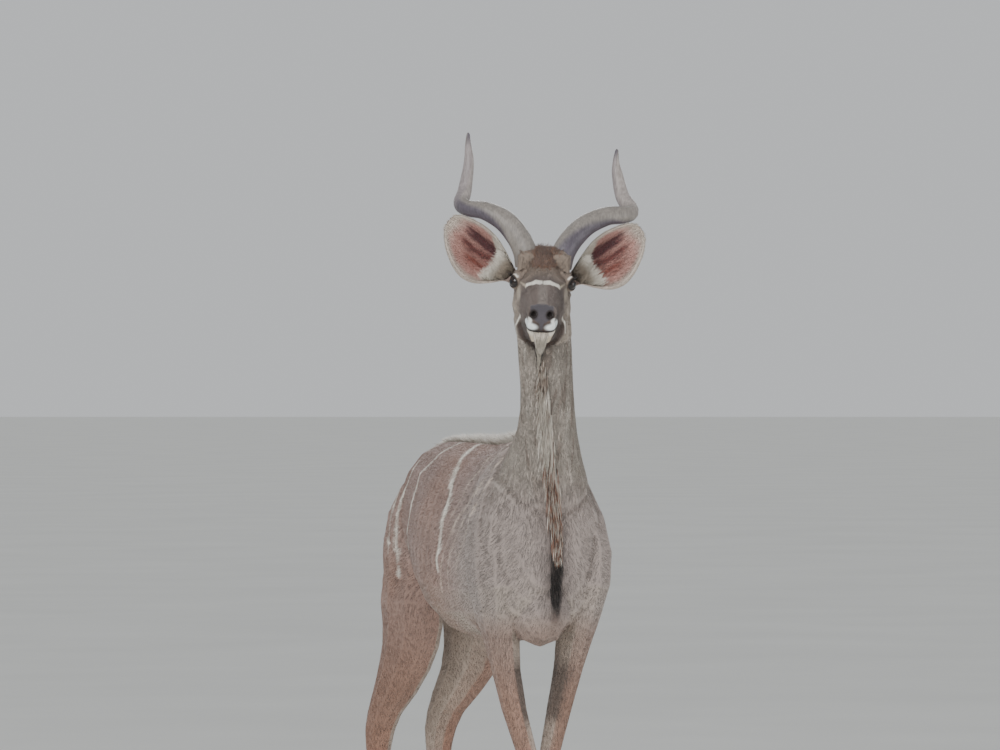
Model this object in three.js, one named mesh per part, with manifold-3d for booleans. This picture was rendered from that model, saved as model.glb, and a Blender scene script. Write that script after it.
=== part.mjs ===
// Greater kudu, a young bull standing alert with its head turned a little to its right.
// Millimetres, +Z up. It is laid out from a stance point on the floor between the fore hooves,
// with -Y towards the nose and -X towards its own right side, and is then centred on its box.
import * as THREE from 'three';
import { mergeVertices } from 'three/addons/utils/BufferGeometryUtils.js';
import Module from 'manifold-3d';

const wasm = await Module();
wasm.setup();

// Driving sizes
const GAP = 0.3;
const SOLE = 0;
const CORONET = 62;
const CLAW_LENGTH = 96;
const CLAW_HALF_WIDTH = 17;
const EYE_RADIUS = 18;
const HEAD_TURN = THREE.MathUtils.degToRad(16.5);
const HEAD_PITCH = THREE.MathUtils.degToRad(23);
const TRUNK_MIDDLE = 22;
const HEAD_ROLL = THREE.MathUtils.degToRad(2.7);
const BETWEEN_EYES = new THREE.Vector3(-60, -300, 1618);
const KEEL_TURNS = 0.8;
const EAR_THICKNESS = 5;

const COAT = { flank: 0x87736c, shoulder: 0x8c8280, neck: 0xa0988f, leg: 0x96694f, face: 0x73695f };
const TRIM = { horn: 0x82807f, hoof: 0x2f2a28, eye: 0x1c1512, ear: 0xa8948c, dark: 0x352d2a, white: 0xcfc6b6 };

const vec = (x, y, z) => new THREE.Vector3(x, y, z);
const SIDES = [['right', -1], ['left', 1]];

// Closed meshes and their joins

function closedGeometry(points, faces) {
  const geometry = new THREE.BufferGeometry();
  geometry.setAttribute('position', new THREE.Float32BufferAttribute(points.flatMap((p) => [p.x, p.y, p.z]), 3));
  geometry.setIndex(faces.flat());
  return geometry;
}

function signedVolume(points, faces) {
  const cross = vec(0, 0, 0);
  return faces.reduce((sum, [a, b, c]) => sum + points[a].dot(cross.crossVectors(points[b], points[c])), 0);
}

function solidFromFaces(points, faces) {
  const outward = signedVolume(points, faces) > 0 ? faces : faces.map(([a, b, c]) => [a, c, b]);
  return solidFromGeometry(closedGeometry(points, outward));
}

// The head frame is left-handed and turns faces inwards, so they are turned back here
function solidFromGeometry(geometry) {
  const bare = geometry.clone();
  bare.deleteAttribute('normal');
  bare.deleteAttribute('uv');
  const merged = mergeVertices(bare, 1e-3);
  const vertProperties = new Float32Array(merged.attributes.position.array);
  const triVerts = new Uint32Array(merged.index.array);
  const solid = new wasm.Manifold(new wasm.Mesh({ numProp: 3, vertProperties, triVerts }));
  if (solid.volume() > 0) return solid;
  const outward = triVerts.map((_, i) => triVerts[i - (i % 3) + [0, 2, 1][i % 3]]);
  return new wasm.Manifold(new wasm.Mesh({ numProp: 3, vertProperties, triVerts: outward }));
}

function geometryFromSolid(solid) {
  const mesh = solid.getMesh();
  const geometry = new THREE.BufferGeometry();
  geometry.setAttribute('position', new THREE.Float32BufferAttribute(mesh.vertProperties, 3));
  geometry.setIndex([...mesh.triVerts]);
  return geometry;
}

// Quads between each ring and the next
function sideFaces(rings) {
  const around = rings[0].length;
  const faces = [];
  for (let r = 0; r < rings.length - 1; r += 1) {
    const [low, high] = [r * around, (r + 1) * around];
    for (let i = 0; i < around; i += 1) {
      const j = (i + 1) % around;
      faces.push([low + i, low + j, high + j], [low + i, high + j, high + i]);
    }
  }
  return faces;
}

// A row of rings closed at each end by a point
function solidFromRings(rings, firstPole, lastPole) {
  const around = rings[0].length;
  const points = [...rings.flat(), firstPole, lastPole];
  const [first, last] = [points.length - 2, points.length - 1];
  const faces = sideFaces(rings);
  const end = (rings.length - 1) * around;
  for (let i = 0; i < around; i += 1) {
    const j = (i + 1) % around;
    faces.push([first, j, i], [last, end + i, end + j]);
  }
  return solidFromFaces(points, faces);
}

// Rings that run out along one face of a wall and back along the other, closed at each end by a strip
function solidFromFolds(rings) {
  const around = rings[0].length;
  const faces = sideFaces(rings);
  const end = (rings.length - 1) * around;
  for (let i = 0; i < around / 2 - 1; i += 1) {
    const [a, b, c, d] = [i, i + 1, around - 2 - i, around - 1 - i];
    faces.push([b, a, d], [b, d, c], [end + a, end + b, end + c], [end + a, end + c, end + d]);
  }
  return solidFromFaces(rings.flat(), faces);
}

// Stations are objects with the same keys; every value runs smoothly through them
function between(stations, t) {
  const last = stations.length - 1;
  const i = Math.min(Math.floor(t), last - 1);
  const f = t - i;
  const at = (k) => stations[Math.max(0, Math.min(last, k))];
  const [a, b, c, d] = [at(i - 1), at(i), at(i + 1), at(i + 2)];
  const value = (key) => b[key] + 0.5 * f * (c[key] - a[key]
    + f * (2 * a[key] - 5 * b[key] + 4 * c[key] - d[key] + f * (3 * (b[key] - c[key]) + d[key] - a[key])));
  return Object.fromEntries(Object.keys(b).map((key) => [key, value(key)]));
}

function sampled(stations, steps) {
  return Array.from({ length: steps + 1 }, (_, k) => between(stations, (k / steps) * (stations.length - 1)));
}

const power = (value, exponent) => Math.sign(value) * Math.abs(value) ** exponent;

// A ring with its own half-width, height above and depth below its centre; peak and full
// under 1 square off its upper and lower halves
function ring(centre, side, up, { half, above, below, peak = 1, full = 1 }, around) {
  return Array.from({ length: around }, (_, k) => {
    const angle = (2 * Math.PI * k) / around;
    const [c, s] = [Math.cos(angle), Math.sin(angle)];
    const x = half * power(c, s > 0 ? peak : full);
    return centre.clone().addScaledVector(side, x).addScaledVector(up, (s > 0 ? above : below) * s);
  });
}

function ellipsoid(centre, radii, turn = [0, 0, 0], around = 14) {
  const shape = new THREE.SphereGeometry(1, around, Math.round(around * 0.6));
  const place = new THREE.Matrix4().compose(centre, new THREE.Quaternion().setFromEuler(new THREE.Euler(...turn)), radii);
  return solidFromGeometry(shape.applyMatrix4(place));
}

const joined = (solids) => solids.reduce((whole, solid) => whole.add(solid));

// Everything on the side of a plane that its normal points to
function halfSpace(point, normal) {
  const size = 5000;
  const box = new THREE.BoxGeometry(size, size, size).translate(0, 0, size / 2 + GAP / 2);
  const turn = new THREE.Quaternion().setFromUnitVectors(vec(0, 0, 1), normal.clone().normalize());
  return solidFromGeometry(box.applyMatrix4(new THREE.Matrix4().compose(point, turn, vec(1, 1, 1))));
}

// Head and face frames: both start between the eyes. The head frame runs along the nose, and the face
// frame stands upright and looks the same way, so horns and ears are given as they are seen from in front.
const ahead = vec(-Math.sin(HEAD_TURN), -Math.cos(HEAD_TURN), 0);
const level = vec(Math.cos(HEAD_TURN), -Math.sin(HEAD_TURN), 0);
const faceLeft = level.clone().multiplyScalar(Math.cos(HEAD_ROLL)).addScaledVector(vec(0, 0, 1), -Math.sin(HEAD_ROLL));
const faceUp = vec(0, 0, Math.cos(HEAD_ROLL)).addScaledVector(level, Math.sin(HEAD_ROLL));
const noseward = ahead.clone().multiplyScalar(Math.cos(HEAD_PITCH)).addScaledVector(faceUp, -Math.sin(HEAD_PITCH));
const crownward = ahead.clone().multiplyScalar(Math.sin(HEAD_PITCH)).addScaledVector(faceUp, Math.cos(HEAD_PITCH));
const headFrame = new THREE.Matrix4().makeBasis(faceLeft, noseward, crownward).setPosition(BETWEEN_EYES);
const inHead = (side, along, up) => vec(side, along, up).applyMatrix4(headFrame);
const inFace = (side, front, up) => BETWEEN_EYES.clone()
  .addScaledVector(faceLeft, side).addScaledVector(ahead, front).addScaledVector(faceUp, up);

function headEllipsoid(side, along, up, across, length, height, turn = [0, 0, 0]) {
  const local = ellipsoid(vec(0, 0, 0), vec(across, length, height), turn, 7);
  const shape = geometryFromSolid(local).translate(side, along, up);
  return solidFromGeometry(shape.applyMatrix4(headFrame));
}

// Head: along runs from the back of the skull to the tip of the nose
const SKULL = [
  { along: -118, top: 46, bottom: -50, half: 42, peak: 0.8, full: 0.8 },
  { along: -84, top: 64, bottom: -100, half: 58, peak: 0.8, full: 0.8 },
  { along: -40, top: 67, bottom: -130, half: 65, peak: 0.8, full: 0.78 },
  { along: 0, top: 58, bottom: -138, half: 65, peak: 0.75, full: 0.75 },
  { along: 45, top: 50, bottom: -132, half: 58, peak: 0.75, full: 0.72 },
  { along: 92, top: 45, bottom: -114, half: 48, peak: 0.7, full: 0.7 },
  { along: 138, top: 42, bottom: -91, half: 38, peak: 0.7, full: 0.72 },
  { along: 180, top: 38, bottom: -70, half: 34, peak: 0.7, full: 0.78 },
  { along: 210, top: 34, bottom: -62, half: 35, peak: 0.7, full: 0.8 },
  { along: 230, top: 26, bottom: -50, half: 32, peak: 0.75, full: 0.8 },
  { along: 242, top: 10, bottom: -26, half: 22, peak: 0.8, full: 0.9 },
];

function skull() {
  const rings = sampled(SKULL, 12).map(({ along, top, bottom, half, peak, full }) => {
    const middle = (top + bottom) / 2;
    const size = { half, above: top - middle, below: middle - bottom, peak, full };
    return ring(inHead(0, along, middle), faceLeft, crownward, size, 14);
  });
  return solidFromRings(rings, inHead(0, -130, -6), inHead(0, 246, -8));
}

// Brows, domes under the horns, cheeks, nostrils, lips and chin
function headMasses() {
  return SIDES.flatMap(([, s]) => [
    headEllipsoid(s * 52, -4, 3, 26, 38, 27),
    headEllipsoid(s * 38, -30, 50, 31, 36, 30),
    headEllipsoid(s * 40, 30, -80, 24, 68, 52),
    headEllipsoid(s * 45, -4, -50, 26, 62, 50),
    headEllipsoid(s * 20, 217, 17, 17, 24, 16),
    headEllipsoid(s * 19, 210, -9, 20, 29, 15),
    headEllipsoid(s * 13, 197, -42, 20, 38, 21),
  ]);
}

const nostril = (s) => headEllipsoid(s * 19, 236, 20, 6, 14, 5.5, [0.3, s * 0.5, s * 0.4]);
const eyeball = (s, radius) => ellipsoid(inHead(s * 57.5, -2, 2), vec(radius, radius, radius), [0, 0, 0], 10);

// The closed mouth is a slot round the front of the muzzle
function mouthSlot() {
  const slot = new THREE.BoxGeometry(120, 150, 1.2).translate(0, 220, -22).applyMatrix4(headFrame);
  return solidFromGeometry(slot).subtract(headEllipsoid(0, 140, -22, 30, 92, 30));
}

// Horns: out, front and up are seen from in front of the face, from the brow to the tip
function hornStations(tipOut, tipUp) {
  return [
    { out: 38, front: -22, up: 40, half: 28, deep: 30 },
    { out: 46, front: -20, up: 76, half: 27.5, deep: 29.5 },
    { out: 69, front: -32, up: 113, half: 26, deep: 27 },
    { out: 101, front: -46, up: 143, half: 23.5, deep: 24 },
    { out: 144, front: -60, up: 163, half: 20.5, deep: 21.5 },
    { out: 182, front: -78, up: 168, half: 18.5, deep: 19 },
    { out: 199, front: -106, up: 180, half: 17.5, deep: 17.5 },
    { out: (tipOut + 194) / 2, front: -134, up: 214, half: 15.5, deep: 15.5 },
    { out: (3 * tipOut + 188) / 4 - 4, front: -146, up: (tipUp + 206) / 2, half: 12, deep: 12 },
    { out: tipOut - 1, front: -146, up: tipUp - 30, half: 7.5, deep: 7.5 },
    { out: tipOut, front: -142, up: tipUp - 6, half: 4, deep: 4 },
  ];
}
const HORN_TIPS = { right: [190, 347], left: [160, 325] };

function horn(name, s, grow) {
  const steps = 17;
  const stations = sampled(hornStations(...HORN_TIPS[name]), steps);
  const centres = stations.map(({ out, front, up }) => inFace(s * out, front, up));
  let across = faceLeft.clone().multiplyScalar(s);
  const rings = centres.map((centre, k) => {
    const run = centres[Math.min(k + 1, steps)].clone().sub(centres[Math.max(k - 1, 0)]).normalize();
    across = across.clone().addScaledVector(run, -across.dot(run)).normalize();
    const deepward = run.clone().cross(across);
    const { half, deep } = stations[k];
    const keelAngle = Math.PI / 2 + 2 * Math.PI * KEEL_TURNS * (k / steps);
    return Array.from({ length: 10 }, (_, i) => {
      const angle = (2 * Math.PI * i) / 10;
      const keel = 1 + 0.14 * Math.max(0, Math.cos(angle - keelAngle)) ** 3;
      return centre.clone().addScaledVector(across, (half * keel + grow) * Math.cos(angle))
        .addScaledVector(deepward, (deep * keel + grow) * Math.sin(angle));
    });
  });
  const tipRun = centres[steps].clone().sub(centres[steps - 1]).normalize();
  const root = centres[0].clone().addScaledVector(centres[1].clone().sub(centres[0]).normalize(), -grow);
  return solidFromRings(rings, root, centres[steps].clone().addScaledVector(tipRun, 6 + grow));
}

// Ears: a leaf-shaped cup that opens forwards, with an upper and a lower edge on either side of its axis
const EAR_LENGTH = 190;
const EAR_EDGES = [
  { along: 0.0, upper: 14, lower: 16, cup: 24 },
  { along: 0.1, upper: 22, lower: 42, cup: 40 },
  { along: 0.25, upper: 33, lower: 68, cup: 50 },
  { along: 0.42, upper: 41, lower: 78, cup: 48 },
  { along: 0.6, upper: 42, lower: 72, cup: 38 },
  { along: 0.78, upper: 35, lower: 55, cup: 25 },
  { along: 0.9, upper: 25, lower: 35, cup: 14 },
  { along: 0.98, upper: 11, lower: 14, cup: 6 },
];

function ear(s, grow) {
  const root = inFace(s * 78, -52, 20);
  const tip = inFace(s * 232, -78, 146);
  const run = tip.clone().sub(root).normalize();
  const opening = ahead.clone().addScaledVector(faceLeft, s * 0.12);
  opening.addScaledVector(run, -opening.dot(run)).normalize();
  const upward = opening.clone().cross(run).multiplyScalar(s);
  if (upward.dot(faceUp) < 0) upward.negate();
  const across = 6;
  const wall = EAR_THICKNESS / 2 + grow;
  const rings = sampled(EAR_EDGES, 8).map(({ along, upper, lower, cup }) => {
    const centre = root.clone().addScaledVector(run, along * EAR_LENGTH);
    const at = (t, side) => {
      const spread = 1 + 0.05 * side;
      const width = (t > 0 ? upper : lower) * t * spread + Math.sign(t) * (Math.abs(t) > 0.99 ? grow : 0);
      const depth = -cup * (1 - t * t) - side * wall * Math.sqrt(Math.max(0.3, 1 - t * t));
      return centre.clone().addScaledVector(upward, width).addScaledVector(opening, depth);
    };
    const steps = Array.from({ length: across + 1 }, (_, i) => (2 * i) / across - 1);
    return [...steps.map((t) => at(t, 1)), ...steps.reverse().map((t) => at(t, -1))];
  });
  return solidFromFolds(rings);
}

// Neck: from inside the skull to deep in the shoulders
const NECK = [
  { x: -42, y: -222, z: 1640, half: 46, front: 50, back: 44, turn: 0.34 },
  { x: -36, y: -212, z: 1585, half: 61, front: 66, back: 72, turn: 0.36 },
  { x: -26, y: -196, z: 1510, half: 66, front: 70, back: 82, turn: 0.4 },
  { x: -14, y: -174, z: 1421, half: 65, front: 80, back: 92, turn: 0.42 },
  { x: 1, y: -138, z: 1330, half: 66, front: 92, back: 108, turn: 0.36 },
  { x: 11, y: -96, z: 1240, half: 80, front: 112, back: 136, turn: 0.26 },
  { x: 18, y: -40, z: 1140, half: 114, front: 128, back: 150, turn: 0.1 },
  { x: 22, y: 30, z: 1040, half: 118, front: 130, back: 130, turn: 0 },
];

const NECK_STEPS = 12;

// The neck's sections follow the head at the top and face straight ahead at the shoulders
function neckFrames() {
  const samples = sampled(NECK, NECK_STEPS);
  const centres = samples.map(({ x, y, z }) => vec(x, y, z));
  return samples.map((station, k) => {
    const run = centres[Math.min(k + 1, NECK_STEPS)].clone().sub(centres[Math.max(k - 1, 0)]).normalize();
    const side = vec(Math.cos(station.turn), -Math.sin(station.turn), 0);
    side.addScaledVector(run, -side.dot(run)).normalize();
    const rearward = run.clone().cross(side);
    if (rearward.y < 0) rearward.negate();
    return { centre: centres[k], side, rearward, station };
  });
}

function neckSolid() {
  const rings = neckFrames().map(({ centre, side, rearward, station }) => {
    const size = { half: station.half, above: station.back, below: station.front, peak: 1.15, full: 0.95 };
    return ring(centre, side, rearward, size, 14);
  });
  return solidFromRings(rings, vec(-46, -228, 1672), vec(TRUNK_MIDDLE, 70, 980));
}

// A place on the neck's front (-1) or back (1) line, sunk a little under the surface
function onNeck(down, face, sink) {
  const frames = neckFrames();
  const { centre, rearward, station } = frames[Math.round(down * NECK_STEPS)];
  const reach = face > 0 ? station.back - sink : station.front - sink;
  return centre.clone().addScaledVector(rearward, face * reach);
}

// Trunk: from the point of the shoulder to the buttock
const TRUNK = [
  { x: 5, y: -138, top: 1110, bottom: 905, wide: 1010, half: 74, peak: 0.9, full: 0.9 },
  { x: 9, y: -100, top: 1190, bottom: 835, wide: 1000, half: 130, peak: 1.0, full: 0.85 },
  { x: 16, y: -40, top: 1238, bottom: 796, wide: 985, half: 158, peak: 1.15, full: 0.85 },
  { x: 21, y: 40, top: 1264, bottom: 776, wide: 960, half: 166, peak: 1.3, full: 0.85 },
  { x: 22, y: 140, top: 1254, bottom: 766, wide: 955, half: 172, peak: 1.2, full: 0.88 },
  { x: 22, y: 260, top: 1242, bottom: 764, wide: 960, half: 180, peak: 1.05, full: 0.92 },
  { x: 22, y: 390, top: 1241, bottom: 756, wide: 970, half: 182, peak: 1.0, full: 0.95 },
  { x: 22, y: 510, top: 1243, bottom: 772, wide: 985, half: 174, peak: 1.0, full: 0.95 },
  { x: 22, y: 620, top: 1244, bottom: 822, wide: 1010, half: 154, peak: 1.0, full: 0.95 },
  { x: 22, y: 710, top: 1243, bottom: 864, wide: 1040, half: 134, peak: 0.95, full: 0.95 },
  { x: 22, y: 785, top: 1238, bottom: 900, wide: 1050, half: 122, peak: 0.95, full: 0.9 },
  { x: 22, y: 850, top: 1219, bottom: 930, wide: 1060, half: 112, peak: 0.95, full: 0.9 },
  { x: 22, y: 905, top: 1184, bottom: 950, wide: 1060, half: 92, peak: 0.95, full: 0.9 },
  { x: 22, y: 940, top: 1142, bottom: 985, wide: 1065, half: 58, peak: 1.0, full: 1.0 },
];

function trunkSolid() {
  const rings = sampled(TRUNK, 20).map(({ x, y, top, bottom, wide, half, peak, full }) => {
    const size = { half, above: top - wide, below: wide - bottom, peak, full };
    return ring(vec(x, y, wide), vec(1, 0, 0), vec(0, 0, 1), size, 18);
  });
  return solidFromRings(rings, vec(TRUNK[0].x, -148, 1005), vec(TRUNK_MIDDLE, 950, 1066));
}

const brisket = () => ellipsoid(vec(12, -40, 880), vec(84, 92, 120), [0.15, 0, 0], 12);

// Legs: fore and aft are measured from the leg's own line
function legSolid(stations, turn, steps, poleUp, poleDown) {
  const samples = sampled(stations, steps);
  const rings = samples.map(({ x, y, z, half, fore, aft }) => {
    const across = vec(Math.cos(turn), Math.sin(turn), 0);
    const rearward = vec(-Math.sin(turn), Math.cos(turn), 0);
    return ring(vec(x, y, z), across, rearward, { half, above: aft, below: fore }, 9);
  });
  const [top, end] = [samples[0], samples[steps]];
  return solidFromRings(rings, vec(top.x, top.y, top.z + poleUp), vec(end.x, end.y, end.z - poleDown));
}

// Fore leg: from the top of the shoulder blade down to the coronet
function foreStations(s, { kneeX, kneeY, footX, footY }) {
  const from = TRUNK_MIDDLE;
  return [
    { x: from + s * 56, y: 52, z: 1222, half: 26, fore: 44, aft: 54 },
    { x: from + s * 90, y: 34, z: 1130, half: 52, fore: 88, aft: 98 },
    { x: from + s * 106, y: 10, z: 1020, half: 67, fore: 118, aft: 124 },
    { x: from + s * 107, y: 0, z: 920, half: 66, fore: 120, aft: 124 },
    { x: from + 4 + s * 98, y: 20, z: 830, half: 54, fore: 88, aft: 92 },
    { x: from + 8 + s * 86, y: 34, z: 750, half: 38, fore: 55, aft: 58 },
    { x: from * 0.4 + s * 50 + kneeX * 0.6, y: 40 + (kneeY - 40) * 0.45, z: 640, half: 31.5, fore: 41, aft: 43 },
    { x: kneeX + s * 7, y: kneeY + (40 - kneeY) * 0.18, z: 505, half: 25, fore: 31, aft: 30 },
    { x: kneeX, y: kneeY, z: 432, half: 28, fore: 33, aft: 31 },
    { x: kneeX, y: kneeY + 1, z: 372, half: 21, fore: 23, aft: 25 },
    { x: (kneeX + footX) / 2, y: (kneeY + footY) / 2 + 8, z: 265, half: 16.5, fore: 18, aft: 22 },
    { x: footX, y: footY + 6, z: 165, half: 19, fore: 20, aft: 26 },
    { x: footX, y: footY, z: 122, half: 23, fore: 24, aft: 30 },
    { x: footX, y: footY - 22, z: 88, half: 20.5, fore: 22, aft: 24 },
    { x: footX, y: footY - 40, z: CORONET, half: 29, fore: 32, aft: 34 },
  ];
}

// Hind leg: from the haunch down to the coronet. The loins end at the hips; calfX is the middle of the gaskin.
function hindStations(s, { calfX, hockX, hockY, footX, footY }) {
  const from = TRUNK_MIDDLE;
  return [
    { x: from + s * 44, y: 764, z: 1176, half: 30, fore: 60, aft: 56 },
    { x: from + s * 66, y: 772, z: 1110, half: 48, fore: 104, aft: 108 },
    { x: from + s * 74, y: 784, z: 1020, half: 58, fore: 130, aft: 140 },
    { x: from + s * 76, y: 790, z: 920, half: 60, fore: 122, aft: 138 },
    { x: from * 0.7 + s * 60 + calfX * 0.3, y: 800, z: 835, half: 58, fore: 108, aft: 130 },
    { x: from * 0.2 + s * 14 + calfX * 0.8, y: 822, z: 762, half: 55, fore: 98, aft: 120 },
    { x: calfX, y: 868, z: 690, half: 52, fore: 90, aft: 108 },
    { x: calfX * 0.65 + hockX * 0.35, y: hockY - 96, z: 610, half: 45, fore: 74, aft: 88 },
    { x: calfX * 0.15 + hockX * 0.85, y: hockY - 30, z: 543, half: 37, fore: 54, aft: 58 },
    { x: hockX, y: hockY, z: 490, half: 34, fore: 46, aft: 44 },
    { x: hockX, y: hockY + 4, z: 432, half: 27, fore: 33, aft: 35 },
    { x: (hockX + footX) / 2, y: (hockY + footY) / 2 + 10, z: 300, half: 19, fore: 22, aft: 26 },
    { x: footX, y: footY + 6, z: 170, half: 21, fore: 23, aft: 28 },
    { x: footX, y: footY, z: 125, half: 25, fore: 26, aft: 32 },
    { x: footX, y: footY - 22, z: 90, half: 22, fore: 24, aft: 26 },
    { x: footX, y: footY - 40, z: CORONET, half: 29, fore: 32, aft: 34 },
  ];
}

// The heel tendon runs down the back of the gaskin and ends in the point of the hock
function heelTendon({ calfX, hockX, hockY, turn }) {
  const stations = [
    { x: calfX * 0.8 + hockX * 0.2, y: hockY - 128, z: 704, half: 22, fore: 40, aft: 10 },
    { x: calfX * 0.4 + hockX * 0.6, y: hockY - 52, z: 630, half: 18, fore: 46, aft: 20 },
    { x: hockX, y: hockY + 10, z: 565, half: 15, fore: 40, aft: 20 },
    { x: hockX, y: hockY + 34, z: 518, half: 18, fore: 38, aft: 18 },
    { x: hockX, y: hockY + 26, z: 470, half: 15, fore: 30, aft: 14 },
  ];
  return legSolid(stations, turn, 5, 4, 8);
}

const FEET = {
  fore_right: { kneeX: -6, kneeY: -34, footX: -12, footY: -52, turn: 0 },
  fore_left: { kneeX: 66, kneeY: 84, footX: 68, footY: 78, turn: 0 },
  hind_right: { calfX: -56, hockX: -88, hockY: 1036, footX: -92, footY: 1050, turn: 0.3 },
  hind_left: { calfX: 118, hockX: 76, hockY: 1052, footX: 84, footY: 1072, turn: 0.45 },
};

// One claw: flat sole, sloping toe, rounded outer wall and straight inner wall
function claw(name, s) {
  const { footX, footY } = FEET[name];
  const toe = footY - 40;
  const levels = [
    { z: SOLE, scale: 1, shift: -26, half: CLAW_HALF_WIDTH },
    { z: 34, scale: 0.84, shift: -12, half: CLAW_HALF_WIDTH - 1.5 },
    { z: CORONET - GAP, scale: 0.68, shift: 0, half: CLAW_HALF_WIDTH - 3.5 },
  ];
  const rings = levels.map(({ z, scale, shift, half }) => Array.from({ length: 10 }, (_, k) => {
    const angle = (2 * Math.PI * k) / 10;
    const along = Math.sin(angle);
    const taper = along < 0 ? 1 - 0.42 * along * along : 1;
    const inner = Math.cos(angle) < 0 ? 0.75 : 1;
    const x = half * Math.cos(angle) * taper * inner;
    return vec(footX + s * (x + CLAW_HALF_WIDTH - 3), toe + shift + (CLAW_LENGTH / 2) * scale * along, z);
  }));
  const middle = (levelIndex, z) => vec(footX + s * (CLAW_HALF_WIDTH - 3), toe + levels[levelIndex].shift, z);
  return solidFromRings(rings, middle(0, SOLE), middle(2, CORONET - GAP));
}

function dewclaw(name, s, grow) {
  const { footX, footY } = FEET[name];
  const radii = vec(9 + grow, 11 + grow, 14 + grow);
  return ellipsoid(vec(footX + s * 13, footY + 22, 108), radii, [-0.5, 0, 0], 6);
}

// Tail
const TAIL = [
  { x: TRUNK_MIDDLE, y: 918, z: 1152, half: 20, fore: 16, aft: 19 },
  { x: TRUNK_MIDDLE, y: 962, z: 1114, half: 19, fore: 14, aft: 17 },
  { x: TRUNK_MIDDLE, y: 984, z: 1040, half: 18, fore: 12, aft: 13 },
  { x: TRUNK_MIDDLE, y: 990, z: 950, half: 20, fore: 11, aft: 13 },
  { x: TRUNK_MIDDLE, y: 988, z: 860, half: 22, fore: 11, aft: 14 },
  { x: TRUNK_MIDDLE, y: 984, z: 790, half: 18, fore: 10, aft: 13 },
  { x: TRUNK_MIDDLE, y: 980, z: 735, half: 7, fore: 5, aft: 6 },
];
const TAIL_TUFT_TOP = 850;

function tailSolid(grow) {
  const wider = TAIL.map((t) => ({ ...t, half: t.half + grow, fore: t.fore + grow, aft: t.aft + grow }));
  return legSolid(wider, 0, 12, 4 + grow, 12);
}

// Long hair: blades that stand off the throat, the nape and the back
function blade(stations, along, rise, steps) {
  const samples = sampled(stations, steps);
  const rings = samples.map(({ x, y, z, half, out, root }) => {
    const base = vec(x, y, z);
    return [
      base.clone().addScaledVector(along, half * 0.8).addScaledVector(rise, -root),
      base.clone().addScaledVector(along, half).addScaledVector(rise, out * 0.35),
      base.clone().addScaledVector(along, half * 0.55).addScaledVector(rise, out * 0.85),
      base.clone().addScaledVector(rise, out),
      base.clone().addScaledVector(along, -half * 0.55).addScaledVector(rise, out * 0.85),
      base.clone().addScaledVector(along, -half).addScaledVector(rise, out * 0.35),
      base.clone().addScaledVector(along, -half * 0.8).addScaledVector(rise, -root),
    ];
  });
  const middle = (k) => rings[k].reduce((sum, p) => sum.add(p), vec(0, 0, 0)).divideScalar(rings[k].length);
  return solidFromRings(rings, middle(0), middle(rings.length - 1));
}

// The throat fringe hangs from the front of the neck and goes on down the breast. The place down is the
// part of the neck's length, from the skull, and sink is how far the roots lie under its front.
const FRINGE = [
  { down: 0.27, half: 9, out: 26, sink: 14 },
  { down: 0.36, half: 12, out: 46, sink: 14 },
  { down: 0.45, half: 14, out: 56, sink: 14 },
  { down: 0.54, half: 15, out: 60, sink: 14 },
  { down: 0.63, half: 16, out: 58, sink: 14 },
  { down: 0.72, half: 16, out: 50, sink: 14 },
];
const BREAST_FRINGE = [
  { x: 8, y: -142, z: 1090, half: 14, out: 40, root: 24 },
  { x: 6, y: -146, z: 1020, half: 12, out: 30, root: 24 },
  { x: 5, y: -142, z: 950, half: 10, out: 18, root: 24 },
];

const CREST = [
  { x: 22, y: 40, z: 1256, half: 10, out: 24, root: 10 },
  { x: 22, y: 170, z: 1244, half: 13, out: 30, root: 10 },
  { x: 22, y: 330, z: 1236, half: 13, out: 34, root: 10 },
  { x: 22, y: 480, z: 1237, half: 13, out: 36, root: 10 },
  { x: 22, y: 630, z: 1238, half: 13, out: 32, root: 10 },
  { x: 22, y: 750, z: 1234, half: 11, out: 24, root: 10 },
  { x: 22, y: 850, z: 1212, half: 8, out: 16, root: 10 },
];

const NAPE = [
  { down: 0.14, half: 9, out: 28, sink: 18 },
  { down: 0.28, half: 11, out: 36, sink: 18 },
  { down: 0.43, half: 12, out: 38, sink: 18 },
  { down: 0.57, half: 12, out: 38, sink: 18 },
  { down: 0.64, half: 11, out: 34, sink: 18 },
];

function alongNeck(stations, face) {
  return stations.map(({ down, half, out, sink }) => {
    const { x, y, z } = onNeck(down, face, sink);
    return { x, y, z, half, out, root: 0 };
  });
}

// Building and parting the animal

const material = (color, roughness = 0.85) => new THREE.MeshStandardMaterial({ color, roughness, metalness: 0 });
const nodes = new Map();
const put = (name, solid, look) => nodes.set(name, { solid, look });

function wholeBody() {
  const legs = SIDES.flatMap(([name, s]) => {
    const [fore, hind] = [FEET[`fore_${name}`], FEET[`hind_${name}`]];
    return [
      legSolid(foreStations(s, fore), fore.turn, 18, 16, 0),
      legSolid(hindStations(s, hind), hind.turn, 19, 16, 0),
      heelTendon(hind),
    ];
  });
  return joined([trunkSolid(), brisket(), neckSolid(), skull(), ...headMasses(), ...legs]);
}

const HEAD_CUT = { point: inFace(0, -84, -46), normal: ahead.clone().multiplyScalar(0.85).add(vec(0, 0, 0.53)) };
const NECK_CUT = { point: vec(0, -96, 1190), normal: vec(0, -0.74, 0.67) };
const CHEST_CUT = { point: vec(0, 285, 1000), normal: vec(0, 1, 0) };
const RUMP_CUT = { point: vec(0, 640, 1000), normal: vec(0, 1, 0) };
const FORE_CUT = { point: vec(0, 0, 760), normal: vec(0, 0, -1) };
const HIND_CUT = { point: vec(0, 700, 832), normal: vec(0, 0.25, -1) };
const KNEE_CUT = { point: vec(0, 0, 400), normal: vec(0, 0, -1) };
const HOCK_CUT = { point: vec(0, 0, 452), normal: vec(0, 0, -1) };
const MIDDLE_CUT = { point: vec(TRUNK_MIDDLE, 0, 0), normal: vec(1, 0, 0) };

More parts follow.
